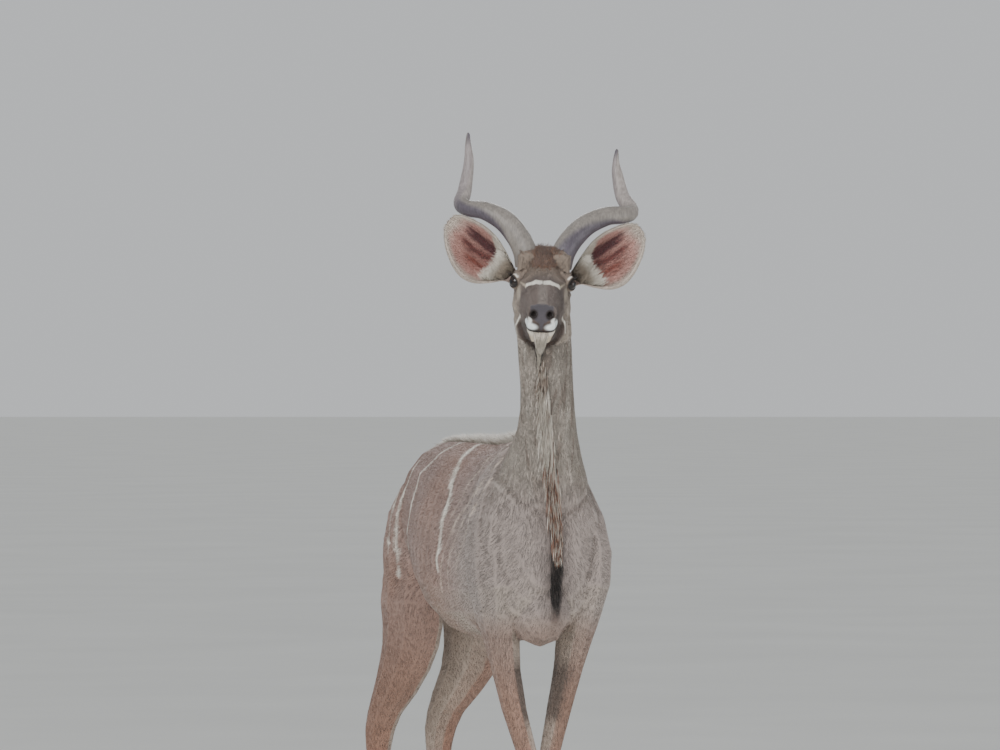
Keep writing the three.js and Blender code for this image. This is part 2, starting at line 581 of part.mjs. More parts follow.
const beyond = ({ point, normal }) => halfSpace(point, normal);
const before = ({ point, normal }) => halfSpace(point, normal.clone().negate());

function build() {
  let body = wholeBody();
  for (const [name, s] of SIDES) {
    put(`horn_${name}`, horn(name, s, 0), material(TRIM.horn, 0.5));
    put(`ear_${name}`, ear(s, 0), material(TRIM.ear));
    put(`eye_${name}`, eyeball(s, EYE_RADIUS), material(TRIM.eye, 0.08));
    body = body.subtract(horn(name, s, GAP)).subtract(ear(s, GAP));
    body = body.subtract(eyeball(s, EYE_RADIUS + GAP)).subtract(nostril(s));
  }
  body = body.subtract(mouthSlot()).subtract(tailSolid(GAP));
  for (const name of Object.keys(FEET)) {
    for (const [place, s] of [['inner', name.endsWith('left') ? -1 : 1], ['outer', name.endsWith('left') ? 1 : -1]]) {
      put(`hoof_${name}_${place}`, claw(name, s), material(TRIM.hoof, 0.45));
      put(`dewclaw_${name}_${place}`, dewclaw(name, s, 0), material(TRIM.hoof, 0.45));
      body = body.subtract(dewclaw(name, s, GAP));
    }
  }
  put('head', body.intersect(beyond(HEAD_CUT)), material(COAT.face));
  const headless = body.intersect(before(HEAD_CUT));
  put('neck', headless.intersect(beyond(NECK_CUT)), material(COAT.neck));
  const lower = headless.intersect(before(NECK_CUT));
  const front = lower.intersect(before(CHEST_CUT));
  put('chest', front.intersect(before(FORE_CUT)), material(COAT.shoulder));
  const back = lower.intersect(beyond(CHEST_CUT));
  put('barrel', back.intersect(before(RUMP_CUT)), material(COAT.flank));
  const rear = back.intersect(beyond(RUMP_CUT));
  put('rump', rear.intersect(before(HIND_CUT)), material(COAT.flank));
  for (const [name, s] of SIDES) {
    const half = s < 0 ? before(MIDDLE_CUT) : beyond(MIDDLE_CUT);
    const fore = front.intersect(beyond(FORE_CUT)).intersect(half);
    const hind = rear.intersect(beyond(HIND_CUT)).intersect(half);
    put(`foreleg_${name}`, fore.intersect(before(KNEE_CUT)), material(COAT.leg));
    put(`forefoot_${name}`, fore.intersect(beyond(KNEE_CUT)), material(COAT.leg));
    put(`hindleg_${name}`, hind.intersect(before(HOCK_CUT)), material(COAT.leg));
    put(`hindfoot_${name}`, hind.intersect(beyond(HOCK_CUT)), material(COAT.leg));
  }
  const tail = tailSolid(0);
  const tuft = { point: vec(0, 1000, TAIL_TUFT_TOP), normal: vec(0, 0, -1) };
  put('tail', tail.intersect(before(tuft)), material(COAT.leg));
  put('tail_tuft', tail.intersect(beyond(tuft)), material(TRIM.dark));
  const clear = (hair, x, y, z) => hair.subtract(body).subtract(body.translate([x * GAP, y * GAP, z * GAP]));
  const forward = vec(-0.3, -0.94, -0.15).normalize();
  const upward = vec(0, 0, 1);
  const rearward = vec(0, 0.85, 0.53);
  const fringe = blade([...alongNeck(FRINGE, -1), ...BREAST_FRINGE], vec(1, 0, 0), forward, 12);
  put('throat_fringe', clear(fringe, -0.4, -1, 0), material(TRIM.white));
  put('back_crest', clear(blade(CREST, vec(1, 0, 0), upward, 10), 0, 0, 1), material(TRIM.white));
  put('nape_mane', clear(blade(alongNeck(NAPE, 1), vec(1, 0, 0), rearward, 6), 0, 1, 1), material(TRIM.dark));
}

build();

const group = new THREE.Group();
for (const [name, { solid, look }] of nodes) {
  const mesh = new THREE.Mesh(geometryFromSolid(solid), look);
  mesh.name = name;
  group.add(mesh);
}
const box = new THREE.Box3().setFromObject(group);
const middle = box.getCenter(vec(0, 0, 0));
group.position.set(-middle.x, -middle.y, -box.min.z);
group.updateMatrixWorld(true);

export default group;
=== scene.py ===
import math
import bmesh
import bpy
import numpy as np
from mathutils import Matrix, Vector
from mathutils.bvhtree import BVHTree


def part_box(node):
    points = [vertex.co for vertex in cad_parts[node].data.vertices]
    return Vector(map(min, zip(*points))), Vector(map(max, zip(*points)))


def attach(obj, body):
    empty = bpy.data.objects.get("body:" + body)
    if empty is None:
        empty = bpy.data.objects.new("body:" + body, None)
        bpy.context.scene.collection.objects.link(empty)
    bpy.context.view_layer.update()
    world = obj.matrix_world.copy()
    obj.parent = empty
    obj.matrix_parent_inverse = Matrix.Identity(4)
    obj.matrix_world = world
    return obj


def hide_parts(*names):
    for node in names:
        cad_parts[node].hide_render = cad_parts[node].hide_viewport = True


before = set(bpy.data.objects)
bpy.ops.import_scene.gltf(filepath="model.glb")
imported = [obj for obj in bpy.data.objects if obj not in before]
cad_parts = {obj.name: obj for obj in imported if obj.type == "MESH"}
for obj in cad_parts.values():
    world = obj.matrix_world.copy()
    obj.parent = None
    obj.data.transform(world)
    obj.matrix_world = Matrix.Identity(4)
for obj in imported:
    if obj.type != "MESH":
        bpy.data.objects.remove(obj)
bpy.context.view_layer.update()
rng = np.random.default_rng(11)
SIDES = (("right", -1), ("left", 1))

# The head's own frame starts between the eyes: side to the animal's left, along to the nose, up to the crown
HEAD_TURN, HEAD_PITCH, HEAD_ROLL = np.radians([16.5, 23.0, 2.7])
UP = np.array([0.0, 0.0, 1.0])
AHEAD = np.array([-math.sin(HEAD_TURN), -math.cos(HEAD_TURN), 0.0])
LEVEL = np.array([math.cos(HEAD_TURN), -math.sin(HEAD_TURN), 0.0])
FACE_LEFT = LEVEL * math.cos(HEAD_ROLL) - UP * math.sin(HEAD_ROLL)
FACE_UP = UP * math.cos(HEAD_ROLL) + LEVEL * math.sin(HEAD_ROLL)
NOSEWARD = AHEAD * math.cos(HEAD_PITCH) - FACE_UP * math.sin(HEAD_PITCH)
CROWNWARD = AHEAD * math.sin(HEAD_PITCH) + FACE_UP * math.cos(HEAD_PITCH)
HEAD_AXES = np.array([FACE_LEFT, NOSEWARD, CROWNWARD])


def middle_of(node):
    low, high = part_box(node)
    return (np.array(low) + np.array(high)) / 2


EYES = {name: middle_of(f"eye_{name}") for name, _ in SIDES}
BETWEEN_EYES = (EYES["right"] + EYES["left"]) / 2 + 0.002 * NOSEWARD - 0.002 * CROWNWARD
# The eyeballs sit a little forward of the middle of their solids
for name, s in SIDES:
    EYES[name] = EYES[name] + FACE_LEFT * s * 0.002 + NOSEWARD * 0.004
# The stance point is on the floor between the fore hooves
STANCE = BETWEEN_EYES - np.array([-0.060, -0.300, 1.618])
MIDLINE = 22  # The trunk's middle plane, in millimetres from the stance point


def in_body(points):
    """Millimetres from the stance point."""
    return (np.asarray(points) - STANCE) * 1000


def in_head(points):
    """Millimetres in the head's own frame."""
    return (np.asarray(points) - BETWEEN_EYES) @ HEAD_AXES.T * 1000


def from_head(side, along, up):
    return BETWEEN_EYES + np.array([side, along, up]) @ HEAD_AXES / 1000


def from_face(side, front, up):
    return BETWEEN_EYES + (FACE_LEFT * side + AHEAD * front + FACE_UP * up) / 1000


# Ear frames: along the ear from its root, up across it, and out of its opening
def ear_axes(s):
    root, tip = from_face(s * 78, -52, 20), from_face(s * 232, -78, 146)
    run = (tip - root) / np.linalg.norm(tip - root)
    opening = AHEAD + FACE_LEFT * s * 0.12
    opening = opening - run * (opening @ run)
    opening = opening / np.linalg.norm(opening)
    across = np.cross(opening, run) * s
    return root, np.array([run, across * np.sign(across @ FACE_UP), opening])


EAR_AXES = {s: ear_axes(s) for _, s in SIDES}
EAR_LENGTH = 190


def in_ear(points, s):
    root, axes = EAR_AXES[s]
    return (np.asarray(points) - root) @ axes.T * 1000


# Numbers that vary smoothly over the body
def smooth(low, high, value):
    t = np.clip((value - low) / (high - low), 0, 1)
    return t * t * (3 - 2 * t)


def lump(offset, reach):
    """1 at the middle of an ellipsoid, falling smoothly to 0 at its surface."""
    distance = np.linalg.norm(offset / np.asarray(reach, float), axis=-1)
    return np.clip(1 - distance * distance, 0, 1) ** 2


def mottle(points, size, seed=0):
    """Soft noise from 0 to 1 on a lattice of the given size in metres."""
    cell = np.asarray(points) / size + seed * 17.3
    base = np.floor(cell).astype(np.int64)
    part = cell - base
    part = part * part * (3 - 2 * part)
    total = np.zeros(len(cell))
    for corner in np.ndindex(2, 2, 2):
        at = base + np.array(corner)
        mixed = (at[:, 0] * 73856093) ^ (at[:, 1] * 19349663) ^ (at[:, 2] * 83492791)
        value = ((mixed * 2654435761) % 4294967296) / 4294967296
        weight = np.prod(np.where(corner, part, 1 - part), axis=1)
        total += value * weight
    return total


# Meshes in and out of arrays
def points_of(obj):
    co = np.empty(len(obj.data.vertices) * 3, np.float32)
    obj.data.vertices.foreach_get("co", co)
    return co.reshape(-1, 3).astype(float)


def normals_of(obj):
    no = np.empty(len(obj.data.vertices) * 3, np.float32)
    obj.data.vertices.foreach_get("normal", no)
    return no.reshape(-1, 3).astype(float)


def set_points(obj, points):
    obj.data.vertices.foreach_set("co", points.astype(np.float32).ravel())
    obj.data.update()


def paint(obj, colours):
    """Stores one colour for each point, in the attribute Coat."""
    layer = obj.data.color_attributes.get("Coat") or obj.data.color_attributes.new("Coat", "FLOAT_COLOR", "POINT")
    rgba = np.ones((len(colours), 4), np.float32)
    rgba[:, :3] = colours
    layer.data.foreach_set("color", rgba.ravel())


def mesh_from(name, points, faces, material=None):
    mesh = bpy.data.meshes.new(name)
    mesh.from_pydata([], [], [])
    count = len(faces)
    mesh.vertices.add(len(points))
    mesh.vertices.foreach_set("co", points.astype(np.float32).ravel())
    mesh.loops.add(count * 3)
    mesh.loops.foreach_set("vertex_index", faces.astype(np.int32).ravel())
    mesh.polygons.add(count)
    mesh.polygons.foreach_set("loop_start", np.arange(count, dtype=np.int32) * 3)
    mesh.update(calc_edges=True)
    obj = bpy.data.objects.new(name, mesh)
    bpy.context.collection.objects.link(obj)
    if material:
        mesh.materials.append(material)
    return obj


def only(obj):
    bpy.ops.object.select_all(action="DESELECT")
    obj.select_set(True)
    bpy.context.view_layer.objects.active = obj
    return obj


def apply(obj, kind, **settings):
    only(obj)
    modifier = obj.modifiers.new(kind.title(), kind)
    for key, value in settings.items():
        setattr(modifier, key, value)
    bpy.ops.object.modifier_apply(modifier=modifier.name)


def copied(node, name):
    """A merged copy of a CAD node, ready to be shaped."""
    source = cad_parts[node]
    obj = bpy.data.objects.new(name, source.data.copy())
    bpy.context.collection.objects.link(obj)
    obj.data.materials.clear()
    only(obj)
    bpy.ops.object.mode_set(mode="EDIT")
    bpy.ops.mesh.select_all(action="SELECT")
    bpy.ops.mesh.remove_doubles(threshold=1e-5)
    bpy.ops.object.mode_set(mode="OBJECT")
    return obj


# Shader nodes
class Value:
    """A socket that adds Math nodes as it is reckoned with."""

    def __init__(self, shader, socket):
        self.shader, self.socket = shader, socket

    def _math(self, operation, other):
        return self.shader.node("ShaderNodeMath", {"operation": operation}, (self, other))

    def __add__(self, other):
        return self._math("ADD", other)

    def __mul__(self, other):
        return self._math("MULTIPLY", other)

    __radd__, __rmul__ = __add__, __mul__

    def clamped(self, low, high):
        return self.shader.node("ShaderNodeClamp", {}, (self, low, high))


class Finish:
    """A material, with one way to add a node to it."""

    def __init__(self, name):
        self.material = bpy.data.materials.new(name)
        self.material.use_nodes = True
        self.tree = self.material.node_tree
        self.surface = self.tree.nodes["Principled BSDF"]
        self.place = self.node("ShaderNodeTexCoord", {}, (), "Object")

    def node(self, kind, settings=None, values=(), output=0):
        made = self.tree.nodes.new(kind)
        for key, value in (settings or {}).items():
            if key == "stops":
                self._stops(made.color_ramp, value)
            else:
                setattr(made, key, value)
        listed = values if isinstance(values, (dict, tuple)) else (values,)
        named = listed if isinstance(listed, dict) else dict(enumerate(listed))
        for key, value in named.items():
            self.feed(made.inputs[key], value)
        return Value(self, made.outputs[output])

    def _stops(self, ramp, stops):
        while len(ramp.elements) < len(stops):
            ramp.elements.new(1)
        for element, (position, colour) in zip(ramp.elements, stops):
            element.position, element.color = position, (*colour, 1)

    def feed(self, socket, value):
        if isinstance(value, Value):
            self.tree.links.new(value.socket, socket)
        elif value is not None:
            socket.default_value = (*value, 1) if socket.type == "RGBA" and len(value) == 3 else value

    def set(self, **values):
        for key, value in values.items():
            self.feed(self.surface.inputs[key.replace("_", " ")], value)
        return self.material

    def noise(self, scale, detail=3.0, stretch=None):
        place = self.place
        if stretch is not None:
            place = self.node("ShaderNodeMapping", {}, {"Vector": place, "Scale": stretch})
        return self.node("ShaderNodeTexNoise", {}, {"Vector": place, "Scale": scale, "Detail": detail})

    def ramp(self, value, stops):
        return self.node("ShaderNodeValToRGB", {"stops": stops}, value)

    def mix(self, factor, a, b, blend="MIX"):
        settings = {"data_type": "RGBA", "blend_type": blend}
        return self.node("ShaderNodeMix", settings, {"Factor": factor, 6: a, 7: b}, 2)

    def bump(self, height, strength, distance):
        return self.node("ShaderNodeBump", {}, {"Height": height, "Strength": strength, "Distance": distance})


def linear(red, green, blue):
    """A colour read as it looks, from 0 to 255, as light."""
    c = np.array([red, green, blue]) / 255
    return np.where(c <= 0.04045, c / 12.92, ((c + 0.055) / 1.055) ** 2.4)


def blend(first, second, share):
    return first + (second - first) * share


def grey(value):
    return (value, value, value)


def coat_finish(name, speckle, grain, rough=0.7):
    """Hair or skin in the coat's own colours, a little uneven from hair to hair."""
    finish = Finish(name)
    colour = finish.node("ShaderNodeVertexColor", {"layer_name": "Coat"})
    fine = finish.noise(900.0, 4.0, (1.0, 1.0, 0.35))
    patches = finish.noise(22.0, 4.0)
    uneven = fine * speckle + patches * 0.3 + (0.85 - 0.5 * speckle)
    shade = finish.node("ShaderNodeCombineColor", {}, (uneven, uneven, uneven))
    tinted = finish.mix(1.0, colour, shade, "MULTIPLY")
    roughness = (patches * 0.2 + (rough - 0.1)).clamped(0.3, 1.0)
    return finish.set(Base_Color=tinted, Roughness=roughness, Normal=finish.bump(fine, grain, 0.0012),
                      Specular_IOR_Level=0.22, Sheen_Weight=0.12)


# Where each place of the body is, as numbers from 0 to 1
class Regions:
    def __init__(self, points):
        self.body = in_body(points)
        self.head = in_head(points)
        x, y, z = self.body.T
        side, along, up = self.head.T
        self.x, self.y, self.z = x, y, z
        self.s = np.where(side < 0, -1, 1)
        self.side, self.along, self.up = np.abs(side), along, up
        reach = [in_ear(points, s) for _, s in SIDES]
        t = [e[:, 0] / EAR_LENGTH for e in reach]
        wide = [np.hypot(e[:, 1], e[:, 2] + 20) for e in reach]
        near = [smooth(-0.12, 0.06, t[k]) * smooth(110, 96, wide[k]) * smooth(60, 82, self.side)
                * (np.where(SIDES[k][1] * side > 0, 1, 0)) for k in (0, 1)]
        self.ear = np.maximum(*near)
        left = side > 0
        self.ear_t = np.where(left, t[1], t[0])
        self.ear_v = np.where(left, reach[1][:, 1], reach[0][:, 1])
        gone = smooth(-110, -60, along) * smooth(1380, 1440, z) * smooth(-158, -142, up)
        self.face = np.clip(gone * (1 - self.ear), 0, 1)
        # Forelegs below the elbow, hind legs below the thigh
        self.fore = smooth(860, 780, z) * smooth(220, 160, y)
        self.hind = smooth(900, 780, z) * smooth(520, 580, y)
        self.leg = np.maximum(self.fore, self.hind)
        self.foot = smooth(460, 380, z)
        self.neck = smooth(40, -60, y) * smooth(1080, 1200, z) * (1 - self.face) * (1 - self.ear)
        self.tail = smooth(905, 925, y) * smooth(760, 860, z)


def through(stations, steps):
    """Stations joined by a smooth curve, with an even number of steps between each two."""
    padded = np.concatenate([2 * stations[:1] - stations[1:2], stations, 2 * stations[-1:] - stations[-2:-1]])
    rows = []
    for k in range(len(stations) - 1):
        a, b, c, d = padded[k:k + 4]
        for t in np.arange(steps) / steps:
            rows.append(0.5 * (2 * b + (c - a) * t + (2 * a - 5 * b + 4 * c - d) * t * t
                               + (3 * b - a - 3 * c + d) * t ** 3))
    rows.append(stations[-1])
    return np.array(rows)


# Closed surfaces swept through rings of points
def swept(name, rings, material, closed_ends=True):
    """A tube through rings of points, each ring an array of the same length."""
    rings = np.asarray(rings)
    rows, around = rings.shape[:2]
    points = rings.reshape(-1, 3)
    r, a = np.meshgrid(np.arange(rows - 1), np.arange(around), indexing="ij")
    b = (a + 1) % around
    low, high = r * around, (r + 1) * around
    quads = np.stack([low + a, low + b, high + b, high + a], axis=-1).reshape(-1, 4)
    faces = np.concatenate([quads[:, [0, 1, 2]], quads[:, [0, 2, 3]]])
    if closed_ends:
        ends = np.array([rings[0].mean(axis=0), rings[-1].mean(axis=0)])
        first, last = len(points), len(points) + 1
        a = np.arange(around)
        b = (a + 1) % around
        caps = np.concatenate([np.stack([b, a, np.full(around, first)], axis=1),
                               np.stack([a + (rows - 1) * around, b + (rows - 1) * around,
                                         np.full(around, last)], axis=1)])
        points, faces = np.concatenate([points, ends]), np.concatenate([faces, caps])
    obj = mesh_from(name, points, faces, material)
    shell = bmesh.new()
    shell.from_mesh(obj.data)
    bmesh.ops.recalc_face_normals(shell, faces=shell.faces)
    shell.to_mesh(obj.data)
    shell.free()
    obj.data.polygons.foreach_set("use_smooth", np.ones(len(obj.data.polygons), bool))
    return obj


# Eyes and lids
def eye_axes(s):
    gaze = FACE_LEFT * s * 0.86 + AHEAD * 0.5 - FACE_UP * 0.02
    gaze /= np.linalg.norm(gaze)
    level = NOSEWARD - gaze * (NOSEWARD @ gaze)
    level /= np.linalg.norm(level)
    upward = np.cross(level, gaze)
    return gaze, level, upward * np.sign(upward @ CROWNWARD)


def on_eye(name, s, tilt, around, radius):
    """A point at an angle from the gaze, turned round it, at a distance from the eye's middle."""
    gaze, level, upward = eye_axes(s)
    tilt, around = np.asarray(tilt), np.asarray(around)
    way = (gaze * np.cos(tilt)[..., None] + level * (np.sin(tilt) * np.cos(around))[..., None]
           + upward * (np.sin(tilt) * np.sin(around))[..., None])
    return EYES[name] + way * (np.asarray(radius) / 1000)[..., None]


def lid_edge(around):
    """How far the lid's edge is from the gaze, round the eye: long to the corners, flatter above and below."""
    upper = np.sin(around) > 0
    tall = np.where(upper, 0.76, 0.7)
    wide = np.where(np.cos(around) > 0, 1.06, 0.96)
    return 1 / np.sqrt((np.cos(around) / wide) ** 2 + (np.sin(around) / tall) ** 2)


def about_eye(points, name, s):
    """Distance from the eye's middle in millimetres, angle from its gaze past the lid's edge, and turn round it."""
    gaze, level, upward = eye_axes(s)
    off = (points - EYES[name]) * 1000
    far = np.linalg.norm(off, axis=1)
    along, over = off @ level, off @ upward
    around = np.arctan2(over, along)
    tilt = np.arccos(np.clip(off @ gaze / np.maximum(far, 1e-6), -1, 1))
    return far, tilt - lid_edge(around), around


def socketed(points):
    """Draws the face in round each eyeball, so that the eye looks forward past it."""
    for name, s in SIDES:
        far, beyond, _ = about_eye(points, name, s)
        near = far < 60
        most = 14.5 + 3.6 * smooth(-0.1, 0.2, beyond) + 40 * smooth(0.35, 1.5, beyond) ** 1.3
        scale = np.where(near & (far > most), most / np.maximum(far, 1e-6), 1)
        points = EYES[name] + (points - EYES[name]) * scale[:, None]
    return points


# Skin: the flesh solids as one surface
FLESH = ["head", "neck", "chest", "barrel", "rump", "tail"] + [
    f"{part}_{side}" for part in ("foreleg", "forefoot", "hindleg", "hindfoot") for side, _ in SIDES]


SKIN_VOXEL, SKIN_FACES = 0.0031, 190000


def flesh():
    """One closed surface round all the flesh, with the parting cuts filled."""
    parts = []
    for node in FLESH:
        piece = copied(node, "part_" + node)
        set_points(piece, points_of(piece) + normals_of(piece) * 0.0005)
        parts.append(piece)
    bpy.ops.object.select_all(action="DESELECT")
    for piece in parts:
        piece.select_set(True)
    skin = parts[0]
    bpy.context.view_layer.objects.active = skin
    bpy.ops.object.join()
    skin.name = skin.data.name = "skin"
    apply(skin, "REMESH", mode="VOXEL", voxel_size=SKIN_VOXEL, adaptivity=0.0)
    return skin


def neighbours(obj):
    edges = np.empty(len(obj.data.edges) * 2, np.int32)
    obj.data.edges.foreach_get("vertices", edges)
    return edges.reshape(-1, 2)


def ease(points, edges, weight, rounds):
    """Smooths without shrinking, as much as each point's weight says."""
    count = len(points)
    degree = np.bincount(edges.ravel(), minlength=count)[:, None]
    for step in range(rounds * 2):
        total = np.empty_like(points)
        for axis in range(3):
            total[:, axis] = (np.bincount(edges[:, 0], points[edges[:, 1], axis], count)
                              + np.bincount(edges[:, 1], points[edges[:, 0], axis], count))
        pull = total / np.maximum(degree, 1) - points
        points = points + pull * weight[:, None] * (0.55 if step % 2 == 0 else -0.565)
    return points


def thin(skin):
    """Fewer faces on the body, most of them left on the head and ears."""
    place = Regions(points_of(skin))
    group = skin.vertex_groups.new(name="Plain")
    plain = 1 - np.clip(place.face + place.ear, 0, 1) * 0.93
    levels = np.round(plain * 10).astype(int)
    for level in range(1, 11):
        group.add(np.nonzero(levels == level)[0].tolist(), level / 10, "REPLACE")
    faces = sum(len(p.vertices) - 2 for p in skin.data.polygons)
    apply(skin, "DECIMATE", ratio=min(1, SKIN_FACES / faces), vertex_group="Plain", vertex_group_factor=2.0,
          use_collapse_triangulate=True)
    skin.vertex_groups.clear()


# Pushes along the surface: how far, the middle and the reach of each, in millimetres
FACE_PUSHES = [
    # Sockets, the brow over them, the cheek line under them and the hollow and bridge of the muzzle
    (2.6, (60, -6, 27), (16, 30, 9)), (1.6, (62, 4, -22), (14, 30, 8)), (2.2, (52, 60, -38), (16, 90, 9)),
    (-2.4, (40, 110, -12), (14, 60, 20)), (1.6, (0, 120, 50), (16, 90, 30)),
    # Nose pad, nostrils and lips
    (-9.0, (18.5, 238, 18), (8.5, 15, 8.5)), (2.2, (26, 230, 20), (6, 14, 11)), (1.6, (10, 238, 27), (9, 12, 6)),
    (-2.4, (0, 240, 2), (2.4, 14, 18)), (2.0, (17, 226, -10), (14, 18, 8)), (1.8, (12, 216, -34), (13, 18, 9)),
    (1.5, (30, 10, -95), (18, 60, 24))]
BODY_PUSHES = [
    # Shoulder blade, the groove behind it, upper arm and the groove before it
    (6.0, (110, 66, 1130), (70, 46, 120)), (-4.5, (120, 138, 1070), (60, 30, 110)),
    (5.0, (120, -20, 1010), (60, 70, 70)), (-4.0, (100, -44, 1100), (60, 26, 90)),
    # Hollow of the flank, hip, thigh, and the grooves behind and before it
    (-5.0, (120, 560, 1090), (60, 70, 60)), (5.0, (110, 610, 1160), (60, 46, 40)),
    (5.0, (110, 760, 1000), (60, 80, 130)), (-4.0, (110, 850, 960), (60, 26, 120)),
    (-4.0, (110, 640, 950), (60, 40, 90))]


def pushed(at, pushes, start=0.0):
    return sum((most * lump(at - middle, reach) for most, middle, reach in pushes), start)


def shaped_face(place):
    """Lids, brows, nostrils, lips and cheeks."""
    return pushed(np.stack([place.side, place.along, place.up], axis=1), FACE_PUSHES)


def shaped_body(place):
    """Ribs, shoulder blade, muscles and the grooves between them."""
    y, z = place.y, place.z
    ribs = np.sin((y + (z - 1000) * 0.28) * 2 * math.pi / 46)
    ribs = 1.3 * ribs * smooth(180, 260, y) * smooth(560, 470, y) * smooth(880, 940, z) * smooth(1180, 1110, z)
    return pushed(np.stack([np.abs(place.x - MIDLINE), y, z], axis=1), BODY_PUSHES, ribs)


# Ears: a leaf-shaped cup, with an upper and a lower edge on either side of its axis
EAR_LEAF = np.array([
    (-0.16, 9, 10, 8), (-0.08, 13, 16, 14), (0.0, 17, 22, 24), (0.1, 24, 44, 40), (0.25, 34, 69, 50),
    (0.42, 42, 79, 48), (0.6, 43, 73, 38), (0.78, 36, 56, 25), (0.9, 27, 38, 15), (0.97, 16, 21, 8),
    (1.0, 7, 9, 5)], float)


def ear_shell(name, s):
    """The ear's skin, with soft folds down its cup and a rolled edge."""
    root, (run, upward, opening) = EAR_AXES[s]
    rows = through(EAR_LEAF, 6)
    span = np.linspace(-1, 1, 33)
    rings = []
    for along, upper, lower, cup in rows:
        def at(t, side):
            width = np.where(t > 0, upper, lower) * t * (1 + 0.05 * side)
            wall = (1.9 + 0.9 * t ** 8) * np.sqrt(np.maximum(0.12, 1 - t * t))
            folds = 1.6 * np.sin(t * 9 + 0.6) * smooth(0.08, 0.3, along) * (1 - t * t) * (1 - smooth(0.75, 1, along))
            depth = -cup * (1 - t * t) - side * wall + folds
            return (root + run * along * EAR_LENGTH / 1000
                    + (upward * width[:, None] + opening * depth[:, None]) / 1000)
        rings.append(np.concatenate([at(span, 1), at(span[::-1], -1)]))
    return swept("ear_shell_" + name, rings, None)


def skin_surface():
    skin = flesh()
    thin(skin)
    points = points_of(skin)
    edges = neighbours(skin)
    place = Regions(points)
    fine = np.clip(place.face + place.ear, 0, 1)
    legs = np.clip(place.leg + place.foot, 0, 1)
    ends = np.clip(place.tail, 0, 1)
    strength = np.clip(1 - 0.62 * fine - 0.45 * legs - 0.5 * ends, 0.1, 1)
    points = ease(points, edges, strength, 46)
    set_points(skin, points)
    place, normals = Regions(points), normals_of(skin)
    push = shaped_face(place) * place.face + shaped_body(place)
    depth = 3.0 * (1 - fine) * (1 - 0.7 * legs) + 0.35 * fine
    points = socketed(points + normals * ((push - depth) / 1000)[:, None])
    set_points(skin, ease(points, edges, np.full(len(points), 0.5), 1))
    bpy.ops.object.select_all(action="DESELECT")
    for name, s in SIDES:
        ear_shell(name, s).select_set(True)
    skin.select_set(True)
    bpy.context.view_layer.objects.active = skin
    bpy.ops.object.join()
    skin.data.polygons.foreach_set("use_smooth", np.ones(len(skin.data.polygons), bool))
    return skin


# Colours of the coat, as they look
FLANK = linear(146, 124, 116)
SHOULDER = linear(150, 138, 132)
NECK = linear(168, 158, 148)
BELLY = linear(172, 160, 148)
RUFOUS = linear(140, 107, 90)
INNER_LEG = linear(170, 157, 145)
WHITE_HAIR = linear(232, 227, 216)
CREAM = linear(206, 192, 170)
FACE = linear(104, 92, 86)
DARK_HAIR = linear(62, 48, 42)
BLACK_HAIR = linear(36, 29, 27)
NOSE = linear(74, 70, 74)
CHESTNUT = linear(134, 86, 62)
EAR_RIM = linear(184, 174, 162)

# Three dark bands run out along the ear, the upper one broad: middle, fall, half width, end and colour
EAR_BANDS = ((0.3, 0.0, 0.27, 0.86, linear(84, 48, 50)), (-0.12, -0.3, 0.14, 0.8, linear(104, 58, 54)),
             (-0.44, -0.25, 0.1, 0.68, linear(126, 72, 62)))

# Flank stripes down the right side, from the spine to the belly, in millimetres from the stance point
BOLD_STRIPES = [
    (8.5, [(20, 440, 1243), (-20, 410, 1236), (-60, 368, 1212), (-92, 323, 1173), (-119, 275, 1128), (-136, 257, 1082),
           (-148, 256, 1037), (-154, 262, 989), (-150, 270, 940)]),
    (6.0, [(20, 572, 1232), (-40, 588, 1212), (-79, 604, 1183), (-98, 616, 1156), (-111, 616, 1124), (-128, 610, 1075),
           (-130, 628, 1030), (-118, 668, 985), (-104, 700, 940)]),
    (5.5, [(20, 740, 1222), (-50, 765, 1180), (-89, 783, 1128), (-98, 792, 1100), (-108, 793, 1051), (-112, 787, 981),
           (-108, 776, 902)]),
    (4.5, [(20, 826, 1190), (-70, 842, 1120), (-109, 846, 1064), (-117, 845, 1004), (-120, 841, 961)])]
FINE_STRIPES = [
    (3.6, [(20, 130, 1251), (-50, 150, 1216), (-90, 160, 1170), (-118, 178, 1110), (-135, 205, 1060)]),
    (4.0, [(20, 60, 1250), (-51, 52, 1225), (-89, 75, 1177), (-119, 115, 1103), (-135, 165, 1050), (-150, 212, 990),
           (-153, 245, 930), (-140, 268, 880)]),
    (3.4, [(-64, 20, 1210), (-105, 40, 1154), (-125, 84, 1090), (-138, 130, 1040), (-148, 170, 985), (-150, 193, 930),
           (-138, 210, 885)]),
    (3.2, [(-94, 4, 1159), (-121, 24, 1111), (-136, 58, 1060), (-143, 92, 1010), (-147, 118, 965), (-145, 135, 930)])]


def beside(points, normals, path):
    """How far points lie from a path drawn on the surface."""
    path = np.asarray(path, float)
    best = np.full(len(points), 1e6)
    for a, b in zip(path[:-1], path[1:]):
        run = b - a
        t = np.clip(((points - a) @ run) / (run @ run), 0, 1)
        off = points - a - t[:, None] * run
        off = off - normals * np.sum(off * normals, axis=1)[:, None] * 0.9
        best = np.minimum(best, np.linalg.norm(off, axis=1))
    return best


def stroke(points, normals, path, half, soft=2.0):
    """1 on a line drawn over the surface, 0 off it."""
    reach = half + soft
    low, high = np.min(path, axis=0) - reach - 14, np.max(path, axis=0) + reach + 14
    near = np.nonzero(np.all((points > low) & (points < high), axis=1))[0]
    mask = np.zeros(len(points))
    mask[near] = smooth(reach, max(half - soft, 0), beside(points[near], normals[near], path))
    return mask


def brow_arc(beyond, around):
    """The fine white arc over the upper lid."""
    ring = smooth(0.2, 0.3, beyond) * smooth(0.56, 0.42, beyond)
    return ring * smooth(0.85, 1.15, around) * smooth(2.7, 2.3, around)


